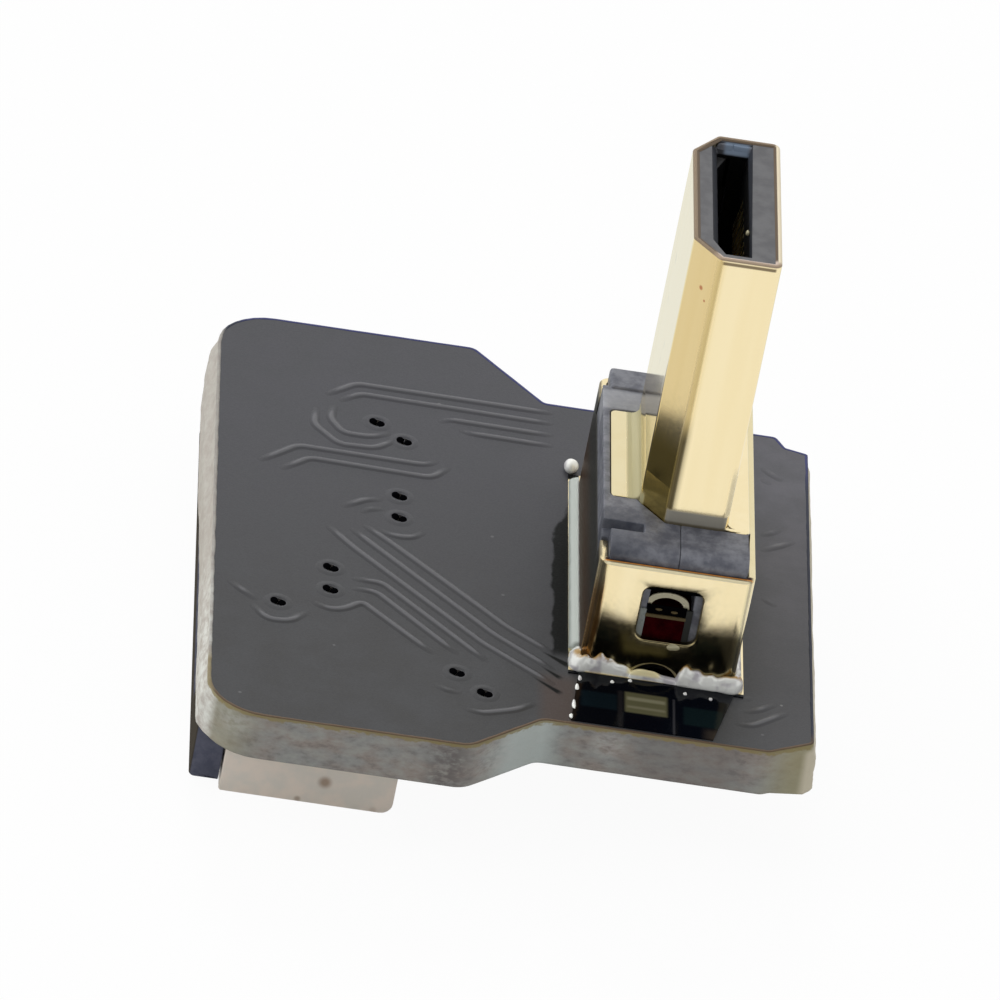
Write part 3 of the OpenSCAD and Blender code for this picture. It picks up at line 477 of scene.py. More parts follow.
def moulding(name, dark, pale, roughness, shaded=False, shine=0.5, side=None):
    """Satin moulded plastic: small soft clouds between two near colours and a fine grain. Where shaded is
    True, the plug's slot and the left end of the front are darkened with painted shade, and the slope at the
    back of the slot is pale blue with painted light. side is the colour of the slider's end, a painted shade."""
    n = nodes_of(name)
    clouds = n.noise(3.2, 4.0, 0.6)
    grain = n.noise(16.0)
    colour = n.cloudy(clouds, 0.33, 0.67, dark, pale)
    if shaded:
        # Painted shade deep in the slot.
        inside = n.where(x=(SLOT_X0 - 0.02, SLOT_X1 + 0.02, 0.01),
                         y=(-SLOT_Y - 0.02, SLOT_Y + 0.02, 0.01), z=(12.36, 12.2))
        colour = n.coats(
            colour,
            (n.where(y=(2.05, 2.9, 0.08), z=(4.3, 4.35), x=(-0.9, -1.1)) * 0.45, PLASTIC_LIGHT),
            # Painted shade on the left end of the front.
            (n.where(z=(5.2, 5.0), y=(-2.4, -2.9), x=(-0.5, -1.7)) * 0.65, PLASTIC_SHADE),
            # Painted light on the slot's back slope.
            (back_slope(n) * n.where(z=(12.3, 12.36)), MOUTH_LIT_BLUE),
            (inside, HOLE_SHADE))
    if side:
        # Painted shade on the slider's end.
        colour = n.blend(n.where(x=(HOUSING_LOW[0] - 0.74, HOUSING_LOW[0] - 0.78)), colour, side)
    return n.finish(colour, n.ease(grain, 0.3, 0.7, roughness - 0.06, roughness + 0.06),
                    n.bump(clouds + grain * 0.4, 0.012), shine=shine)


def mouth_plastic():
    """The plug's end: grey, with slopes darkened by painted shade, a bluish one at the back with painted
    light, and black painted shade deep in the slot.
    """
    n = nodes_of("mouth_plastic")
    clouds = n.noise(2.4)
    under = n.where(z=(PLUG_HIGH[2] - 0.045, PLUG_HIGH[2] - 0.06))
    colour = n.coats(n.cloudy(clouds, 0.33, 0.67, MOUTH_DARK, MOUTH_PALE), (under, MOUTH_SLOPE_SHADE),
                     (under * back_slope(n), MOUTH_LIT_BLUE), (n.where(z=(12.36, 12.28)), HOLE_SHADE))
    return n.finish(colour, 0.5, n.bump(clouds, 0.01))


def mouth_gap_shade():
    """Painted shade in the thin gap round the mouth's plastic: dark brown, and pinkish in front."""
    n = nodes_of("mouth_gap_shade")
    return n.finish(n.blend(n.where(y=(-2.55, -2.68)), SHADE_LINE, GAP_SHADE_PINK), 0.5)


def ivory():
    """Pinkish ivory plastic with brown flux stains on its front end."""
    n = nodes_of("ivory_plastic")
    clouds = n.noise(1.4)
    stains = ((n.spot(place, size * 0.2, size) * amount, STAIN_BROWN) for place, size, amount in IVORY_STAINS)
    return n.finish(n.coats(n.cloudy(clouds, 0.35, 0.65, IVORY_PALE, IVORY_GREY), *stains), 0.45,
                    n.bump(clouds, 0.01))


def plain(name, colour, roughness, metallic=0.0, shine=0.5):
    """A small part's finish, with a faint cloud in its roughness."""
    n = nodes_of(name)
    return n.finish(colour, n.ease(n.noise(6.0, 2.0), 0.3, 0.7, roughness * 0.8, roughness * 1.2),
                    metallic=metallic, shine=shine)


def solder_metal():
    """Bright solder, greyer along the left wall with painted shade, and warm in a ragged band high on the
    front heaps against the front wall.
    """
    n = nodes_of("solder_metal")
    skin = n.noise(4.0)
    edge = n.where(z=(1.63, 2.1, 0.06), y=(-4.62, -4.56)) * n.ease(skin, 0.42, 0.54)
    colour = n.coats(
        n.cloudy(n.noise(2.5, 2.0), 0.45, 0.65, SOLDER_PALE, SOLDER_MAUVE),
        # Painted shade on the solder along the left wall.
        (n.where(x=(-2.0, -2.06), y=(-4.0, 4.3, 0.1)), SOLDER_SHADE_GREY),
        (edge * 0.93, SOLDER_WARM),
        (n.where(x=(-0.82, 0.0, 0.06), z=(1.36, 1.44)), SOLDER_LIP),
        (n.where(z=(2.1, 2.15)), SOLDER_SILL))
    return n.finish(colour, n.ease(skin, 0.3, 0.7, 0.15, 0.25), n.bump(skin, 0.012), 0.15)


def strip_metal(name, colour, roughness):
    """Plated spring strip with faint rolling lines."""
    n = nodes_of(name)
    lines = n.noise(2.0, 2.0, squeeze=(0.4, 12.0, 0.4))
    rough = n.ease(lines, 0.3, 0.7, roughness - 0.06, roughness + 0.06)
    return n.finish(colour, rough, n.bump(lines, 0.004), 1.0)


# Colours, linear
MASK_FRONT = (0.040, 0.040, 0.041)
MASK_BACK = (0.060, 0.060, 0.069)
MASK_RIGHT = (0.105, 0.103, 0.118)
MASK_CLOUD = (0.053, 0.055, 0.060)
# Painted highlight on the tracks' crests
MASK_CREST_HIGHLIGHT = (0.16, 0.16, 0.17)
# Painted shade at the tracks' feet
MASK_FOOT_SHADE = (0.02, 0.02, 0.022)
MASK_BROWN = (0.07, 0.045, 0.035)
# Painted reflection and shadow beside the base
MASK_SHADE = (0.008, 0.009, 0.008)
MASK_OLIVE = (0.24, 0.19, 0.07)
MASK_LIP = (0.12, 0.08, 0.05)
EDGE_DARK = (0.03, 0.035, 0.055)
EDGE_BLUE = (0.05, 0.055, 0.16)
# Painted shade in slots, holes and recesses
HOLE_SHADE = (0.0015, 0.0015, 0.002)
DUST = (0.25, 0.25, 0.25)
LAMINATE_MID = (0.2, 0.18, 0.16)
LAMINATE_PINK = (0.27, 0.235, 0.21)
LAMINATE_BLUE = (0.25, 0.25, 0.24)
LAMINATE_LIGHT = (0.33, 0.34, 0.31)
LAMINATE_DARK = (0.13, 0.115, 0.11)
# Painted light on the shoulder's face
LAMINATE_SHOULDER_LIT = (0.47, 0.52, 0.5)
# Painted light on the plug end's face
LAMINATE_END_LIT = (0.55, 0.5, 0.38)
END_WHITE = (0.7, 0.71, 0.66)
LAMINATE_TAN = (0.33, 0.3, 0.17)
LAMINATE_CREAM = (0.32, 0.3, 0.18)
END_DARK = (0.42, 0.38, 0.34)
END_LIGHT = (0.5, 0.48, 0.43)
FIBRE_WHITE = (0.5, 0.5, 0.48)
GOLD_PALE = (0.92, 0.79, 0.50)
GOLD_DEEP = (0.90, 0.76, 0.46)
STAIN_RED = (0.5, 0.15, 0.08)
# Painted shade of the dimples
DENT_SHADE = (0.5, 0.45, 0.33)
RIM_BROWN = (0.2, 0.14, 0.1)
RIM_PALE = (0.78, 0.69, 0.52)
# Painted reflection colours of the slanted corner and its bends, this and the next
SLANT_REFLECTION = (0.8, 0.62, 0.28)
DARK_REFLECTION = (0.12, 0.1, 0.045)
# Painted highlight on the arch's edge
ARCH_HIGHLIGHT = (0.6, 0.53, 0.3)
SEAT_PALE = (0.85, 0.76, 0.5)
# Painted shade for thin dark lines: in the mouth's gap and under the cut end
SHADE_LINE = (0.1, 0.065, 0.035)
GAP_SHADE_PINK = (0.6, 0.48, 0.4)
# Painted reflection on the base's left wall, high up
WALL_REFLECTION_BLACK = (0.018, 0.018, 0.015)
# Painted reflection on the left wing's bend
WING_BEND_REFLECTION = (0.45, 0.42, 0.25)
BEND_DARK = (0.09, 0.065, 0.022)
BEND_BROWN = (0.14, 0.11, 0.05)
BEND_CREAM = (0.88, 0.77, 0.5)
# Painted shadow under the barrel's foot
FOOT_SHADOW = (0.03, 0.028, 0.028)
FOOT_GREY = (0.27, 0.27, 0.26)
RIM_PINK = (0.36, 0.265, 0.2)
# Painted reflection on the base's left wall, low down
WALL_REFLECTION_BROWN = (0.04, 0.02, 0.008)
# Painted reflection low on the slanted corner
GOLD_OLIVE_REFLECTION = (0.5, 0.38, 0.12)
# Painted shade on the left wing and the base's right wall
GOLD_SHADE = (0.5, 0.47, 0.28)
# Painted reflection low on the base's front wall
GOLD_LOW_REFLECTION = (0.3, 0.25, 0.13)
GOLD_BURNT = (0.42, 0.22, 0.06)
SEAT_ORANGE = (0.75, 0.3, 0.06)
SEAT_BROWN = (0.03, 0.008, 0.004)
# Painted reflection on the pad's tail, this and the next
TAIL_REFLECTION_BLACK = (0.002, 0.0025, 0.004)
TAIL_REFLECTION_BLUE = (0.002, 0.003, 0.006)
MOUTH_DARK = (0.09, 0.09, 0.095)
MOUTH_PALE = (0.125, 0.125, 0.13)
# Painted shade on the mouth's slopes
MOUTH_SLOPE_SHADE = (0.03, 0.033, 0.042)
# Painted light on the slot's back slope
MOUTH_LIT_BLUE = (0.2, 0.262, 0.355)
STAIN_BROWN = (0.25, 0.14, 0.07)
IVORY_PALE = (0.84, 0.74, 0.64)
IVORY_GREY = (0.74, 0.69, 0.61)
SOLDER_PALE = (0.97, 0.98, 0.94)
SOLDER_MAUVE = (0.62, 0.6, 0.63)
SOLDER_WARM = (0.42, 0.24, 0.05)
SOLDER_LIP = (0.95, 0.85, 0.5)
SOLDER_SILL = (0.42, 0.38, 0.24)
# Painted shade on the solder along the left wall
SOLDER_SHADE_GREY = (0.47, 0.51, 0.47)
PLASTIC_DARK = (0.095, 0.1, 0.125)
PLASTIC_PALE = (0.19, 0.197, 0.225)
PLASTIC_LIGHT = (0.42, 0.43, 0.46)
PLASTIC_SHADE = (0.03, 0.035, 0.05)
SLIDER_DARK = (0.085, 0.09, 0.125)
SLIDER_PALE = (0.12, 0.125, 0.165)
# Painted shade on the slider's end
SLIDER_END_SHADE = (0.065, 0.057, 0.046)
SPACER_DARK = (0.012, 0.0005, 0.001)
SPACER_PALE = (0.03, 0.001, 0.002)

# Marks on the finishes: places, sizes, and how strong they are. The spikes of painted shadow have their two
# ends and half width
GOLD_STAINS = (((-0.735, -2.545, 11.5), 0.09), ((-0.61, -2.7, 11.23), 0.05))
GOLD_DENTS = (((-1.1, 0.87, 10.16), 0.22), ((-1.1, 0.72, 9.02), 0.16), ((-1.1, -0.43, 8.42), 0.14),
              ((-1.1, -0.24, 7.86), 0.12))
IVORY_STAINS = (((-7.9, HOUSING_LOW[1], -1.33), 0.24, 0.75), ((-8.5, HOUSING_LOW[1], -1.92), 0.12, 0.6),
                ((-6.61, HOUSING_LOW[1], -1.95), 0.15, 0.3))
MASK_SPOTS = (((-4.19, 0.97), 0.06, 0.3), ((-3.91, -1.65), 0.06, 0.25), ((-8.13, -5.05), 0.05, 0.3),
              ((-10.44, -7.78), 0.06, 0.3), ((3.09, -4.85), 0.05, 0.6), ((-5.57, 6.82), 0.06, 0.6),
              ((2.6, -6.3), 0.06, 0.25))
MASK_SHADE_SPIKES = (((-3.05, -3.88), (-2.25, -4.45), 0.1), ((-3.0, -4.6), (-2.47, -5.06), 0.07),
               ((-3.28, -5.08), (-2.47, -5.74), 0.08))
LAMINATE_FRAYS = (((-4.0, -8.0, 0.6), 0.9), ((-10.4, -8.3, 0.9), 0.7), ((-1.2, -7.0, 0.8), 0.6))

# Zones and films of the barrel: stains, dents drawn as painted shade, painted reflection of the board low on
# the slanted corner, painted shade on the left wing, painted reflection on the front beside the corner and a
# line of painted shade under the cut end. Then painted reflection on the left wing's bend, the foot with
# painted shadow below it, the cut end and painted reflections on the bends
PLUG_ZONES = (
    marks(GOLD_STAINS, STAIN_RED, 0.8),
    # Dimples on the left face, drawn only as painted shade in the colour.
    marks(GOLD_DENTS, DENT_SHADE, 0.35),
    # Painted reflection of the dark board on the low part of the slanted corner.
    tone_patch(GOLD_OLIVE_REFLECTION, 1.0, x=(-0.42, -0.5), y=(-2.0, -2.1), z=(7.9, 6.6)),
    # Painted shade on the left wing.
    tone_patch(GOLD_SHADE, 0.3, x=(-1.15, -1.2), z=(5.0, 4.9)),
    # Painted reflection beside the slanted corner.
    crease,
    # A line of painted shade under the cut end.
    tone_patch(SHADE_LINE, 0.85, z=(PLUG_HIGH[2] - 0.16, PLUG_HIGH[2] - 0.07, 0.02), x=(-0.4, 0.96, 0.03),
          y=BARREL_FRONT),
)
PLUG_FILMS = (
    # Painted reflection on the left wing's bend, in a dull coat.
    tone_patch(WING_BEND_REFLECTION, 0.9, x=(-1.40, -0.98, 0.04), y=(-2.2, 2.6, 0.05), z=(5.25, 5.05)),
    plug_foot,
    mouth_rim,
    bends,
)

# Zones and films of the base: painted reflection low on the front wall, painted shade on the right wall, and
# the burnt bend. Then painted reflection on the left wall, the seam with the plastic and a painted highlight
# on the arch's edge
BASE_ZONES = (
    # Painted reflection low on the front wall.
    tone_patch(GOLD_LOW_REFLECTION, 0.9, y=(BASE_LOW[1] + 0.2, BASE_LOW[1] + 0.12), z=(2.95, 2.7)),
    # Painted shade on the right wall.
    tone_patch(GOLD_SHADE, 0.35, x=(BASE_HIGH[0] - 0.22, BASE_HIGH[0] - 0.15)),
    tone_patch(GOLD_BURNT, 0.85, x=(-1.72, -1.82), y=(-4.15, -4.25), z=(4.2, 3.4)),
)
BASE_FILMS = (left_wall_reflection, seat_line, arch_highlight)

# Panels of painted reflection on the pad's tail, of the front wall and its window: from x, to x, from y, to
# y, colour and softness of the sides
PAD_REFLECTIONS = (
    (-0.85, 0.21, -6.2, -5.3, (0.1, 0.095, 0.05), 0.05),
    (-0.8, 0.16, -5.65, -5.5, (0.2, 0.19, 0.12), 0.05),
    (-0.8, 0.16, -6.0, -5.9, (0.17, 0.16, 0.1), 0.05),
    (0.62, 1.6, -6.4, -5.6, (0.005, 0.011, 0.013), 0.06),
    (-1.95, -1.05, -6.2, -5.5, (0.004, 0.008, 0.011), 0.06),
    (0.35, 0.4, -7.0, -5.35, (0.04, 0.04, 0.045), 0.03),
    (-1.03, -0.9, -7.0, -5.3, (0.012, 0.011, 0.012), 0.04),
    (1.15, 1.7, -7.0, -6.5, (0.03, 0.024, 0.02), 0.15),
)


# Mesh tools

def add_piece(name, points, faces, finish, slot, replaces=(), smooth=True):
    """Makes a mesh from points in millimetres, points its faces outwards and lets it ride on the board."""
    mesh = bpy.data.meshes.new(name)
    mesh.from_pydata((np.asarray(points, float).reshape(-1, 3) * MM).tolist(), [], faces)
    return settle(name, mesh, finish, "board", replaces, smooth)


def settle(name, mesh, finish, body, replaces, smooth=True):
    """Turns a finished mesh into a piece of the object."""
    shell = bmesh.new()
    shell.from_mesh(mesh)
    bmesh.ops.recalc_face_normals(shell, faces=shell.faces)
    shell.to_mesh(mesh)
    shell.free()
    mesh.polygons.foreach_set("use_smooth", [smooth] * len(mesh.polygons))
    wear(mesh, finish)
    item = bpy.data.objects.new(name, mesh)
    bpy.context.scene.collection.objects.link(item)
    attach(item, body)
    if replaces:
        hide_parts(*replaces)
    return item


def wear(mesh, finish):
    """Gives a mesh its only finish."""
    mesh.materials.clear()
    mesh.materials.append(finish)


def dress(names, finish):
    """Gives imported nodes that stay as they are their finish."""
    for name in names:
        wear(frame["nodes"][name].data, finish)


def quads(rows, columns, loop_rows=False, loop_columns=False):
    """Faces between neighbouring points of a grid, which may close on itself in either direction."""
    i, j = np.meshgrid(np.arange(rows if loop_rows else rows - 1),
                       np.arange(columns if loop_columns else columns - 1), indexing="ij")
    down, right = (i + 1) % rows, (j + 1) % columns
    corners = (i * columns + j, down * columns + j, down * columns + right, i * columns + right)
    return np.stack(corners, -1).reshape(-1, 4).tolist()


def tube_faces(rings, count):
    """Faces of a tube of closed rings with count points each, and its two ends."""
    last = (rings - 1) * count
    return (quads(rings, count, loop_columns=True)
            + [list(range(count))[::-1], list(range(last, last + count))])


def joined(parts):
    """Points and faces of several shells as one mesh."""
    points, faces, start = [], [], 0
    for some_points, some_faces in parts:
        points.append(np.asarray(some_points, float).reshape(-1, 3))
        faces += [[start + k for k in face] for face in some_faces]
        start += len(points[-1])
    return np.concatenate(points), faces


def circle(count):
    """Points of the unit circle."""
    turn = np.linspace(0, 2 * np.pi, count, endpoint=False)
    return np.stack([np.cos(turn), np.sin(turn)], -1)


def raised(flat, height):
    """Points in the plane with heights: one for all, or one for each row."""
    height = np.asarray(height, float)
    height = height.reshape(height.shape + (1,) * (flat.ndim - height.ndim))
    return np.concatenate([flat, np.broadcast_to(height, (*flat.shape[:-1], 1))], -1)


def units(vectors):
    return vectors / np.linalg.norm(vectors, axis=-1, keepdims=True)


def evenly(path, how_many, endpoint=True):
    """Points at an even spacing along a path. how_many gives their number from its length."""
    along = np.concatenate([[0], np.cumsum(np.linalg.norm(np.diff(path, axis=0), axis=1))])
    at = np.linspace(0, along[-1], how_many(along[-1]), endpoint=endpoint)
    return np.stack([np.interp(at, along, path[:, axis]) for axis in (0, 1)], -1)


def rounded_outline(corners, radii, spacing):
    """Closed outline, anticlockwise: at each corner an arc that touches both sides, then points at an even
    spacing. Returns the points and their outward normals."""
    corners = np.array(corners, float)
    path = []
    for k, (corner, radius) in enumerate(zip(corners, radii)):
        if radius == 0:
            path.append(corner[None])
            continue
        back, ahead = units(corners[k - 1] - corner), units(corners[(k + 1) % len(corners)] - corner)
        half = math.acos(np.clip(back @ ahead, -1, 1)) / 2
        centre = corner + units(back + ahead) * radius / math.sin(half)
        start = corner + back * radius / math.tan(half) - centre
        end = corner + ahead * radius / math.tan(half) - centre
        turn = math.pi - 2 * half
        t = np.linspace(0, 1, 9)[:, None]
        path.append(centre + (start * np.sin(turn * (1 - t)) + end * np.sin(turn * t)) / math.sin(turn))
    path = np.concatenate(path)
    points = evenly(np.vstack([path, path[:1]]), lambda length: int(length / spacing), False)
    ahead = np.roll(points, -1, axis=0) - np.roll(points, 1, axis=0)
    return points, units(np.stack([ahead[:, 1], -ahead[:, 0]], -1))


def inset(outline, depth):
    """Corners of a closed anticlockwise outline moved inwards, so that each side moves by depth."""
    corners = np.array(outline, float)
    back = units(corners - np.roll(corners, 1, axis=0))
    mean = back + np.roll(back, -1, axis=0)
    mean = np.stack([-mean[:, 1], mean[:, 0]], -1)
    return corners + mean * (depth * 2 / np.sum(mean ** 2, axis=1))[:, None]


def smoothed(corners, spacing, width):
    """Open path through the corners: points at an even spacing, each the mean of its stretch of that width.
    Returns the points, the path's direction and its right-hand side at each."""
    path = evenly(np.array(corners, float), lambda length: max(int(length / spacing), 6))
    reach = min(int(width / spacing / 2), len(path) - 2)
    if reach >= 1:
        before = 2 * path[0] - path[reach:0:-1]
        after = 2 * path[-1] - path[-2:-reach - 2:-1]
        longer = np.concatenate([before, path, after])
        window = np.full(2 * reach + 1, 1 / (2 * reach + 1))
        path = np.stack([np.convolve(longer[:, axis], window, "valid") for axis in (0, 1)], -1)
    ahead = units(np.gradient(path, axis=0))
    return path, np.stack([ahead[:, 1], -ahead[:, 0]], -1)


def wander(count, length, seed):
    """Smooth seeded wobble of about -1 to 1 along a closed line of count points, in waves of that length."""
    rng = np.random.default_rng(seed)
    waves = np.fft.rfft(rng.normal(size=count))
    waves *= np.exp(-(np.arange(len(waves)) * length / count) ** 2)
    wobble = np.fft.irfft(waves, count)
    return wobble / np.abs(wobble).max()


MERGE = 0.002
FLAT_ANGLE = math.radians(0.5)
SHARP_ANGLE = math.radians(32)


def softened(node, width, finish, body="board", hard=False, cut=None):
    """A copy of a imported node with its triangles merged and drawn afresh, and its sharp edges rounded. Where
    hard is True, its flat faces keep the rounding's own normals. cut is a height at which its faces are
    divided, so that the shading of small faces below it doesn't run up the long ones."""
    mesh = frame["nodes"][node].data.copy()
    shell = bmesh.new()
    shell.from_mesh(mesh)
    bmesh.ops.remove_doubles(shell, verts=shell.verts, dist=MERGE * MM)
    bmesh.ops.dissolve_limit(shell, angle_limit=FLAT_ANGLE, verts=shell.verts, edges=shell.edges)
    if cut:
        everything = [*shell.verts, *shell.edges, *shell.faces]
        bmesh.ops.bisect_plane(shell, geom=everything, plane_co=(0, 0, cut * MM), plane_no=(0, 0, 1))
    bmesh.ops.triangulate(shell, faces=[face for face in shell.faces if len(face.verts) > 4])
    weight = shell.edges.layers.float.new("bevel_weight_edge")
    for edge in shell.edges:
        if edge.calc_face_angle(0.0) > SHARP_ANGLE:
            edge[weight] = 1.0
    shell.to_mesh(mesh)
    shell.free()
    item = settle(f"{node}_finished", mesh, finish, body, (node,))
    bevel = round_edges(item, width, 4 if hard else 2, hard)
    bevel.limit_method = "WEIGHT"
    bevel.use_clamp_overlap = False
    bevel.loop_slide = False
    if not hard:
        weigh = item.modifiers.new("flat_shading", "WEIGHTED_NORMAL")
        weigh.keep_sharp = True
    return item


def round_edges(item, width, segments, harden):
    bevel = item.modifiers.new("rounded_edges", "BEVEL")
    bevel.width = width * MM
    bevel.segments = segments
    bevel.harden_normals = harden
    return bevel


# Pieces

SKIN = 0.002
SKIN_OUT = 0.04
CORNER_BREAK = (3.65, -6.47)
CORNER_RADII = (1.4, 0.7, 0.5, 0.15, 0.15, 0, 0.1, 0.1, 0.25, 0.25, 1.4)


def board_outline(spacing):
    x0, x1, x2, x3 = BOARD_X0, BOARD_X0 + SHOULDER_X, BOARD_X0 + SHOULDER_X + SHOULDER_L, PLUG_TO_END
    corners = ((x0, BOARD_Y0), (x1, BOARD_Y0), (x2, NECK_Y0), (x3 - END_CUT_L, NECK_Y0),
               (x3, NECK_Y0 + END_CUT_D), (x3, NECK_Y1 - NOTCH_D),
               (x3 - NOTCH_L * 0.7, NECK_Y1 - NOTCH_D * 0.75), (x3 - NOTCH_L, NECK_Y1),
               (x2, NECK_Y1), (x1, BOARD_Y1), (x0, BOARD_Y1))
    return rounded_outline(corners, CORNER_RADII, spacing)


def sawn_edge(finish):
    """The board's sawn edge, a skin a little proud of the solid: the outline pushed outwards by the snapped
    web at both ends, by the torn corner and by fibres, which are seeded waves long along the edge and thin
    across it."""
    line, normal = board_outline(0.06)
    levels = np.linspace(0, 1, 22)
    count = len(line)
    fibre = np.stack([wander(count, 9, 100 + k) for k in range(len(levels))])
    coarse = np.stack([wander(count, 40, 300 + k // 4) for k in range(len(levels))])
    at_end = np.clip((np.abs(normal[:, 0]) - 0.97) / 0.02, 0, 1)
    at_end = np.max([np.roll(at_end, k) for k in range(-4, 5)], axis=0)
    at_end = np.convolve(np.concatenate([at_end[-4:], at_end, at_end[:4]]), np.full(9, 1 / 9), "valid")
    web = np.interp(levels, (0.0, 0.04, 0.62, 0.85, 1.0), (0.6, 1.0, 1.0, 0.1, 0.0))[:, None] * WEB_OUT
    fade = np.interp(levels, (0.0, 0.06, 0.92, 1.0), (0.3, 1.0, 1.0, 0.3))[:, None]
    bulge = np.interp(line[:, 1], (-1.0, 3.0, 7.0, 8.2), (0.0, 1.0, 1.0, 0.2))
    bulge = bulge * np.clip(-normal[:, 0] - 0.5, 0, 0.5)
    sag = np.interp(levels, (0.0, 0.6, 1.0), (1.0, 0.9, 0.1))[:, None]
    near = np.clip(1 - np.hypot(*(line - CORNER_BREAK).T) / 0.8, 0, 1)
    torn = near * np.interp(levels, (0.0, 0.4, 1.0), (0.3, 0.2, 0.0))[:, None]
    out = (SKIN_OUT + 0.2 * bulge * sag + np.maximum(torn, at_end * web * (1.0 + 0.1 * coarse))
           + fade * 0.01 * (fibre + coarse))
    wall = raised(line + normal * out[..., None], levels * BOARD_TOP)
    inner = line - normal * (0.035 + 0.015 * wander(count, 7, 500))[:, None]
    grid = np.concatenate([raised(inner, -SKIN)[None], wall, raised(inner, BOARD_TOP + SKIN)[None]])
    faces = quads(len(grid), count, loop_rows=True, loop_columns=True)
    return add_piece("sawn_edge", grid, faces, finish, "solder_mask_board")


RIDGE_HALF = 0.155
RIDGE_H = 0.048
RIDGE_STEP = 0.05


def track_ridges(finish):
    """Tracks under the mask: a low cosine ridge carried along each route, sinking at both ends."""
    u = np.linspace(-1, 1, 13)
    section = np.concatenate([u, [1.0, -1.0]]) * RIDGE_HALF
    rise = np.concatenate([(1 + np.cos(np.pi * u)) / 2 * RIDGE_H, [-0.02, -0.02]])
    parts = []
    for corners in ROUTES:
        path, side = smoothed(corners, RIDGE_STEP, 0.4)
        ends = np.minimum(np.arange(len(path)), np.arange(len(path))[::-1]) * RIDGE_STEP
        sink = (1 - np.cos(np.pi * np.clip(ends / 0.8, 0.02, 1))) / 2
        flat = path[:, None] - side[:, None] * section[None, :, None]
        z = BOARD_TOP - SKIN + np.where(rise > 0, rise * sink[:, None], rise)
        parts.append((np.concatenate([flat, z[..., None]], -1), tube_faces(len(path), len(section))))
    return add_piece("track_ridges", *joined(parts), finish, "mask_over_tracks", ("board_tracks",))


# Rings of a via's rim and of its two lobes of painted shade: how wide, and how high over the board
RIM_RINGS = ((0.40, -SKIN), (0.33, 0.008), (0.27, 0.016), (0.23, 0.018), (0.2, 0.010), (0.17, -0.01))
LOBE_RINGS = ((1.0, -0.02), (0.97, 0.014), (0.0001, 0.013))
LOBE_AT = (0.1, -0.045)
LOBE_RADII = (0.1, 0.135)


def vias(mask, dark):
    """Each via: a low rim of mask round its drill, and two black lobes side by side over it that stand for the
    hole's painted shade.
    """
    ring = circle(36)

    def rings(centre, table, radii):
        wide, height = np.array(table).T
        flat = centre + wide[:, None, None] * ring * radii
        return raised(flat, BOARD_TOP + height), quads(len(table), len(ring), loop_columns=True)

    places = np.array(VIAS)
    rims = [rings(place, RIM_RINGS, 1.0) for place in places]
    lobes = [rings(place + np.multiply(side, LOBE_AT), LOBE_RINGS, LOBE_RADII)
             for place in places for side in (-1, 1)]
    add_piece("via_rims", *joined(rims), mask, "solder_mask_board")
    add_piece("via_hole_shade", *joined(lobes), dark, "solder_mask_board")


def solder_run(name, corners, heights, spreads, finish, replaces=(), lumps=0.06, seed=1):
    """A line of solder in the corner of a wall and the board: a quarter round carried round the base
    anticlockwise, with small seeded lumps. heights and spreads are tables of (part of the way, mm)."""
    path, outward = smoothed(corners, 0.04, 0.24)
    count = len(path)
    t = np.linspace(0, 1, count)
    close = np.sqrt(np.clip(np.minimum(t, 1 - t) * count / 3, 0.02, 1))
    soft = np.hanning(9) / np.hanning(9).sum()
    height = np.interp(t, *zip(*heights)) * (1 + lumps * wander(count, 10, seed))
    height = np.convolve(np.pad(height, 4, "edge"), soft, "valid") * close
    spread = np.interp(t, *zip(*spreads)) * (1 + lumps * wander(count, 8, seed + 1)) * close
    angle = np.linspace(0, np.pi / 2, 12)
    across, upward = (np.append(curve, 0.0) for curve in (np.sin(angle), np.cos(angle)))
    waves = [wander(count, 12, seed + 2 + k // 4) for k in range(len(angle))]
    wave = 1 + lumps * np.stack([*waves, np.zeros(count)], -1)
    flat = path[:, None] + outward[:, None] * (spread[:, None] * across * wave)[..., None]
    z = PAD_TOP - 0.01 + height[:, None] * upward * wave
    ring = np.concatenate([flat, z[..., None]], -1)
    return add_piece(name, ring, tube_faces(count, len(across)), finish, "solder", replaces)


def blob_shell(centre, radii, seed=0, lumps=0.08):
    """A closed lump: an ellipsoid with seeded waves in its radius. Returns its points and faces."""
    v = np.linspace(0.001, np.pi - 0.001, 12)
    ring = circle(20)
    u = np.linspace(0, 2 * np.pi, len(ring), endpoint=False)
    swell = np.sin(3 * u + seed) * np.sin(v)[:, None] + 0.5 * np.cos(2 * v + seed)[:, None]
    swell = 1 + lumps * swell
    unit = raised(np.sin(v)[:, None, None] * ring, np.cos(v))
    return np.array(centre) + unit * swell[..., None] * np.array(radii), tube_faces(len(v), len(ring))


# Heights of the two front heaps of solder: (part of the way, millimetres)
HEAP_LEFT = ((0, 0.24), (0.15, 0.34), (0.26, 0.48), (0.31, 0.3), (0.4, 0.5), (0.45, 0.3), (0.5, 0.36),
             (0.56, 0.66), (0.63, 0.36), (0.7, 0.46), (0.76, 0.28), (0.85, 0.3), (0.93, 0.22), (1, 0.1))
HEAP_RIGHT = ((0, 0.1), (0.06, 0.36), (0.12, 0.6), (0.19, 0.36), (0.3, 0.46), (0.36, 0.3), (0.46, 0.42),
              (0.52, 0.28), (0.6, 0.4), (0.7, 0.36), (0.77, 0.5), (0.86, 0.3), (1, 0.2))
# Slivers of solder along the tail's left side, with their half length, and dots on it
PAD_DASHES = ((-1.98, -4.98, 0.12), (-2.05, -5.4, 0.14), (-2.13, -6.2, 0.2), (-2.2, -6.75, 0.1))
PAD_DOTS = ((-1.17, -4.95), (-0.72, -4.78), (0.66, -5.02), (1.3, -5.1))


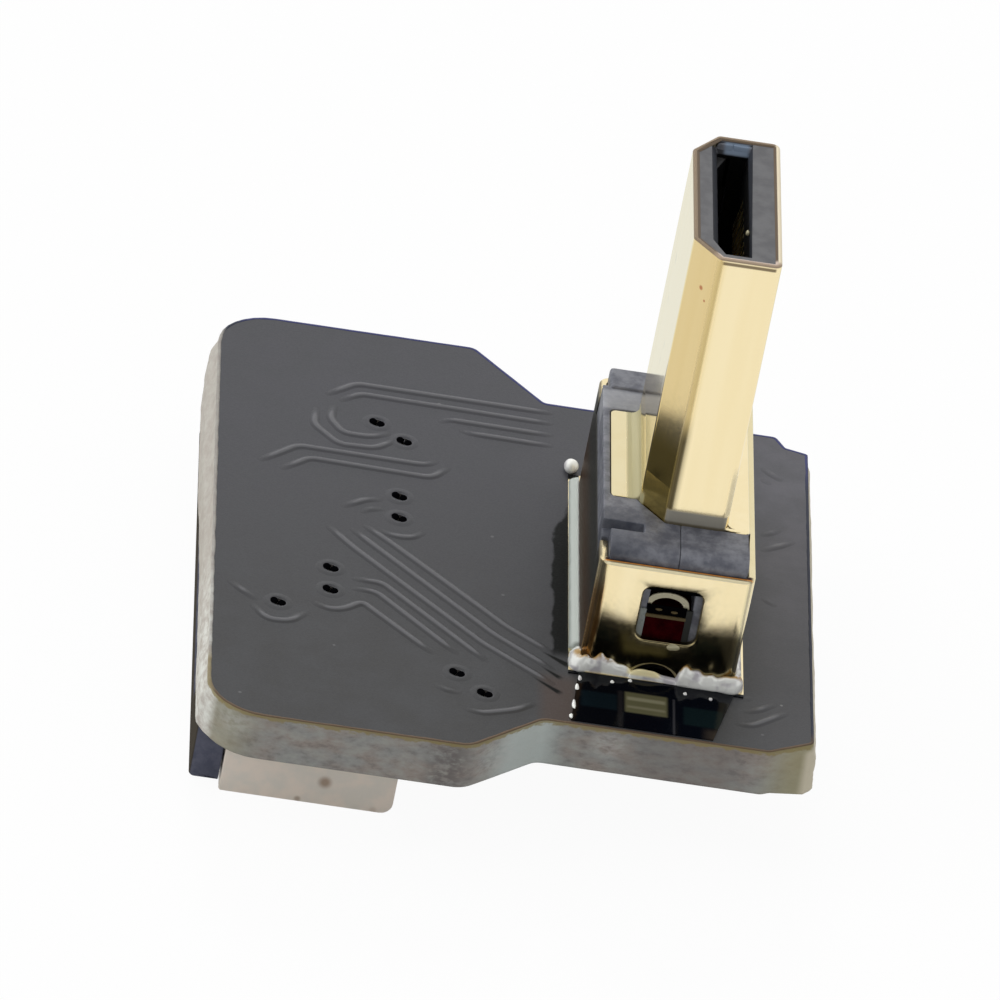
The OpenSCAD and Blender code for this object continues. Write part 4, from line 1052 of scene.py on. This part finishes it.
def solder_work(finish):
    """All the solder round the base: side and back lines, front heaps, the bead, slivers and dots."""
    x0, x1, y0, y1 = BASE_LOW[0], BASE_HIGH[0], BASE_LOW[1], BASE_HIGH[1]
    front_left = ((0, 0.22), (0.2, 0.26), (0.32, 0.24), (0.42, 0.12), (1, 0.1))
    front_right = ((0, 0.16), (0.2, 0.2), (0.6, 0.2), (0.78, 0.24), (1, 0.16))
    even = ((0, 0.26), (1, 0.26)), ((0, 0.2), (1, 0.2))
    left = ((0, 0.18), (1, 0.24)), ((0, 0.24), (1, 0.25))
    for side, corners, (heights, spreads), lumps, seed in (
            ("front_left", ((x0, -3.85), (x0, y0), (-0.62, y0)), (HEAP_LEFT, front_left), 0.05, 11),
            ("front_right", ((0.34, y0), (x1, y0), (x1, -4.0)), (HEAP_RIGHT, front_right), 0.05, 23),
            ("left", ((x0, y1 + 0.02), (x0, -3.8)), left, 0.015, 37),
            ("right", ((x1, -4.0), (x1, y1 - 0.25)), even, 0.08, 41),
            ("back", ((x1 - 0.25, y1), (x0 + 0.25, y1)), even, 0.08, 47)):
        solder_run(f"solder_{side}_finished", corners, heights, spreads, finish, (f"solder_{side}",),
                   lumps, seed)
    solder_run("solder_lip", ((-0.85, y0), (0.55, y0)),
               ((0, 0.12), (0.2, 0.22), (0.5, 0.24), (0.62, 0.15), (1, 0.1)),
               ((0, 0.13), (0.5, 0.13), (1, 0.16)), finish, lumps=0.05, seed=53)
    parts = [blob_shell((x0 - 0.19, y1 + 0.5, BOARD_TOP + 0.13), (0.19, 0.22, 0.18), 1, 0.03)]
    parts += [blob_shell((x, y, BOARD_TOP + 0.03), (0.05, length, 0.04), 2 + k)
              for k, (x, y, length) in enumerate(PAD_DASHES)]
    parts += [blob_shell((x, y, PAD_TOP), (0.05, 0.06, 0.04), 9 + k) for k, (x, y) in enumerate(PAD_DOTS)]
    parts.append(blob_shell((0.16, y0, 2.3), (0.17, 0.04, 0.09), 20, 0.2))
    add_piece("solder_beads", *joined(parts), finish, "solder")


def bar(low, high):
    """Points and faces of a plain block."""
    ring = ((low[0], low[1]), (high[0], low[1]), (high[0], high[1]), (low[0], high[1]))
    return np.array([(x, y, z) for z in (low[2], high[2]) for x, y in ring]), tube_faces(2, 4)


WINDOW_X = -0.13


def window_inside(dark, red, dim):
    """What shows in the window: the red block's front, a bright sheet with an arched edge, two posts of one
    plastic, the left grey with painted light and the right dark with painted shade, a bar over the block and
    two contact tips in a dim gold of painted shade, and black blocks of painted shade in the recess above the
    bar and under the window's top."""
    y = SPACER_LOW[1]
    t = np.linspace(-1, 1, 25)
    rise = np.sqrt(np.clip(1 - t ** 2, 0, 1))
    deep = np.full(25, y + 0.02)
    inner = np.stack([WINDOW_X + t * 0.42, deep, 3.26 + 0.30 * rise], -1)
    outer = np.stack([WINDOW_X + t * 0.55, deep, 3.28 + 0.42 * rise ** 0.8], -1)
    front = np.stack([inner, outer], 1)
    rings = np.concatenate([front, (front + (0, 0.05, 0))[:, ::-1]], 1)
    sheet = plain("window_metal", (0.4, 0.37, 0.26), 0.3, 0.3)
    add_piece("window_sheet", rings, tube_faces(25, 4), sheet, "gold_shell", smooth=False)
    # The two posts: painted light on the left one, painted shade on the right.
    grey = plain("window_post_lit", (0.21, 0.23, 0.22), 0.3)
    post = plain("window_post_shade", (0.02, 0.021, 0.019), 0.4, shine=0.2)
    for name, low, high, finish, slot in (
            ("window_post_left", (-0.79, -0.05, 2.38), (-0.63, 0, 3.2), grey, "black_moulding"),
            ("window_post_right", (0.36, -0.05, 2.38), (0.52, 0, 3.3), post, "black_moulding"),
            ("window_bar", (-0.64, -0.06, 2.99), (0.37, 0, 3.07), dim, "black_moulding"),
            ("window_recess", (-0.64, -0.02, 3.05), (0.37, 0, 3.34), dark, "black_moulding"),
            ("window_head", (-0.8, 0.0, 3.74), (0.7, 0.04, 4.0), dark, "black_moulding"),
            ("spacer_front", (-0.63, -0.03, 2.36), (0.36, -0.01, 3.0), red, "red_spacer")):
        add_piece(name, *bar(np.add(low, (0, y, 0)), np.add(high, (0, y, 0))), finish, slot, smooth=False)
    tips = [blob_shell((x, y - 0.03, z), (0.09, 0.03, 0.035), k)
            for k, (x, z) in enumerate(((-0.33, 3.22), (0.06, 3.19)))]
    add_piece("contact_tips", *joined(tips), dim, "gold_contacts")


BARREL = ((-0.44, PLUG_LOW[1]), (1.1, PLUG_LOW[1]), (1.1, PLUG_HIGH[1]), (-0.44, PLUG_HIGH[1]),
          (-1.1, 2.085), (-1.1, -2.085))
SLOT_X0 = -0.45
SLOT_X1 = 0.33
SLOT_Y = 2.55


def mouth_skin(name, loops, finish):
    """A thin skin over six-cornered rings, each (corners, height)."""
    points = np.concatenate([raised(corners, z) for corners, z in loops])
    faces = quads(len(loops), 6, loop_columns=True)
    item = add_piece(name, points, faces, finish, "black_moulding", smooth=False)
    item.modifiers.new("thickness", "SOLIDIFY").thickness = 0.005 * MM


def mouth(tip):
    """The plug's mouth: the plastic's end with the slopes that lead into the slot, one pale contact end in it
    that stands for a glint, and a thin line of painted shade in the gap between it and the metal."""
    top = PLUG_HIGH[2] - 0.03
    slot = np.array(((SLOT_X0 + 0.24, -SLOT_Y), (SLOT_X1, -SLOT_Y), (SLOT_X1, SLOT_Y),
                     (SLOT_X0 + 0.03, SLOT_Y), (SLOT_X0, SLOT_Y - 0.03), (SLOT_X0, 0.6 - SLOT_Y)))
    wide = slot + ((-0.1, -0.06), (0.02, -0.06), (0.09, 0.2), (-0.12, 0.2), (-0.17, 0.15), (-0.17, -0.04))
    mouth_skin("plug_mouth", ((inset(BARREL, 0.15), top), (wide, top), (slot + (0.006, 0), top - 0.28),
                              (slot, top - 1.2)), mouth_plastic())
    # A pale contact end in the slot, in the solder's finish: a painted glint.
    end = blob_shell((SLOT_X1 - 0.045, -1.12, 12.38), (0.05, 0.09, 0.07), 3)
    add_piece("contact_end_glint", *end, tip, "gold_contacts")
    # A thin line of painted shade in the gap round the plastic.
    rings = ((0.105, 0.026), (0.13, 0.022), (0.17, 0.004))
    mouth_skin("mouth_line", [(inset(BARREL, depth), top + rise) for depth, rise in rings], mouth_gap_shade())


def crown_block(finish):
    """The rounded block at the crown's back corner, with a narrow dark joint before it."""
    block = bar((BASE_LOW[0] + 0.2, 2.97, 4.4), (-0.72, 3.92, 4.9))
    round_edges(add_piece("crown_back_block", *block, finish, "black_moulding"), 0.09, 3, True)


def build_pieces():
    """Every piece of the object with its finish."""
    plug_gold = gold("plug_gold", 0.004, PLUG_ZONES, PLUG_FILMS, 0.1, flare=0.05)
    base_gold = gold("base_gold", 0.003, BASE_ZONES, BASE_FILMS, 0.17, lean=0.16)
    plastic = moulding("dark_plastic", PLASTIC_DARK, PLASTIC_PALE, 0.5, True)
    slider_plastic = moulding("slider_plastic", SLIDER_DARK, SLIDER_PALE, 0.6, shine=0.0, side=SLIDER_END_SHADE)
    red = moulding("red_plastic", SPACER_DARK, SPACER_PALE, 0.6, shine=0.0)
    # Black of painted shade, for the vias' holes and the window's recesses.
    black = plain("depth_shade", HOLE_SHADE, 0.8, shine=0.0)
    # A dim gold of painted shade for the bar and contact tips deep in the window.
    dim = plain("window_gold_shade", (0.1, 0.075, 0.035), 0.4, shine=0.1)
    bright = solder_metal()
    contact_gold = strip_metal("contact_gold", (0.9, 0.75, 0.4), 0.3)
    contact_tin = strip_metal("contact_tin", (0.8, 0.74, 0.58), 0.25)
    tab_tin = strip_metal("tab_tin", (0.72, 0.72, 0.7), 0.3)
    sawn_edge(laminate())
    track_ridges(solder_mask("mask_ridges", ridges=True))
    vias(solder_mask("mask_relief"), black)
    softened("plug_shell", 0.04, plug_gold, cut=5.3)
    softened("base_shell", 0.04, base_gold, hard=True)
    softened("insulator_left", 0.03, plastic)
    softened("insulator_right", 0.03, plastic)
    mouth(bright)
    crown_block(plastic)
    softened("tail_spacer", 0.03, red)
    softened("ribbon_housing", 0.03, ivory())
    softened("ribbon_slider", 0.03, slider_plastic, "slider")
    softened("hold_down_front", 0.02, tab_tin)
    softened("hold_down_back", 0.02, tab_tin)
    solder_work(bright)
    window_inside(black, red, dim)
    dress(["circuit_board"], solder_mask("solder_mask", sides=True))
    dress(["ground_pad"], tail_finish())
    dress(["plug_pads", "ribbon_pads", *(f"ribbon_contact_{i:02d}" for i in range(1, 21))], contact_tin)
    dress([f"plug_contact_{i:02d}" for i in range(1, 20)], contact_gold)


# Studio

# The camera's own axes in the part's frame, the point in the middle of its view, and how far back it stands
CAMERA_RIGHT = (0.98564, 0.00291, 0.16882)
CAMERA_UP = (-0.14399, 0.53671, 0.83139)
CAMERA_BACK = (-0.08819, -0.84376, 0.52942)
VIEW_POINT = (-4.2808, 0.0119, 2.9722)
VIEW_DISTANCE = 441.01
LENS = 638.0


def camera():
    data = bpy.data.cameras.new("camera")
    data.lens = LENS
    data.sensor_width = 36.0
    data.clip_start = 0.05
    data.clip_end = 5.0
    item = bpy.data.objects.new("camera", data)
    bpy.context.scene.collection.objects.link(item)
    turn = Matrix((CAMERA_RIGHT, CAMERA_UP, CAMERA_BACK)).transposed().to_4x4()
    place = (Vector(VIEW_POINT) + Vector(CAMERA_BACK) * VIEW_DISTANCE) * MM
    item.matrix_world = Matrix.Translation(place) @ turn
    bpy.context.scene.camera = item


WHITE = (1.0, 1.0, 1.0)
WORLD_SOFT = (0.6, 0.6, 0.6)
CAMERA_ZONE = (0.015, 0.016, 0.018)
FLOOR_WHITE = (0.85, 0.85, 0.85, 1.0)
FLOOR_LEFT = (0.80, 0.74, 0.60)
FLOOR_BACK = (0.86, 0.88, 0.84)
FLOOR_GLOW = 0.95
FLOOR_HALF = 400.0


def world():
    """White to the camera, even and softer to matt surfaces, and to glossy ones white with a dark zone where
    the camera stands."""
    sky = bpy.data.worlds.new("studio")
    bpy.context.scene.world = sky
    n = Nodes(sky)
    seen = n.node("ShaderNodeLightPath", output="Is Camera Ray")
    glossy = n.node("ShaderNodeLightPath", output="Is Glossy Ray") + n.node(
        "ShaderNodeLightPath", output="Is Transmission Ray")
    direction = n.node("ShaderNodeTexCoord", output="Generated")
    near = n.node("ShaderNodeVectorMath", {"operation": "DOT_PRODUCT"}, {0: direction, 1: CAMERA_BACK}, 1)
    shine = n.cloudy(near, 0.72, 0.88, WHITE, CAMERA_ZONE)
    colour = n.coats(WORLD_SOFT, (glossy, shine), (seen, WHITE))
    back = n.node("ShaderNodeBackground", None, {"Color": colour, "Strength": 1.0})
    n.node("ShaderNodeOutputWorld", None, {"Surface": back})


def floor():
    """A level white floor at the object's lowest point. It keeps a faint shadow, looks white to glossy
    surfaces with a warmer side to the left, and is not there from below."""
    mesh = bpy.data.meshes.new("floor")
    corners = np.array(((-1, -1), (1, -1), (1, 1), (-1, 1))) * FLOOR_HALF
    mesh.from_pydata((raised(corners, FLOOR_Z) * MM).tolist(), [], [(0, 1, 2, 3)])
    n = nodes_of("floor_white")
    seen = n.node("ShaderNodeLightPath", output="Is Camera Ray")
    glossy = n.node("ShaderNodeLightPath", output="Is Glossy Ray")
    matt = n.node("ShaderNodeBsdfDiffuse", None, {"Color": FLOOR_WHITE})
    shine = n.coats(WHITE, (n.where(x=(-9.0, -15.0), y=(12.0, 7.0)), FLOOR_LEFT),
                    (n.where(y=(9.0, 14.0)), FLOOR_BACK))
    plain_white = n.node("ShaderNodeEmission", None, {"Color": (*WHITE, 1.0), "Strength": 1.0})
    card = n.node("ShaderNodeEmission", None, {"Color": shine, "Strength": 1.0})
    own = n.node("ShaderNodeMixShader", None, {0: seen * FLOOR_GLOW, 1: matt, 2: plain_white})
    own = n.node("ShaderNodeMixShader", None, {0: glossy, 1: own, 2: card})
    gone = n.node("ShaderNodeBsdfTransparent")
    back = n.node("ShaderNodeNewGeometry", output="Backfacing")
    own = n.node("ShaderNodeMixShader", None, {0: back, 1: own, 2: gone})
    n.node("ShaderNodeOutputMaterial", None, {"Surface": own})
    mesh.materials.append(n.owner)
    item = bpy.data.objects.new("floor", mesh)
    bpy.context.scene.collection.objects.link(item)


def lamp(name, towards, strength, softness):
    """A distant soft lamp that shines the way given, and that mirrors don't show."""
    data = bpy.data.lights.new(name, "SUN")
    data.energy = strength
    data.angle = math.radians(softness)
    item = bpy.data.objects.new(name, data)
    bpy.context.scene.collection.objects.link(item)
    item.rotation_mode = "QUATERNION"
    item.rotation_quaternion = Vector(towards).to_track_quat("-Z", "Y")
    item.visible_glossy = False


def studio():
    camera()
    world()
    floor()
    lamp("key_lamp", (0.75, -0.1, -0.6), 0.9, 40)
    lamp("back_lamp", (0.1, -0.85, -0.5), 1.3, 20)
    bpy.context.scene.view_settings.view_transform = "Standard"


studio()
build_pieces()
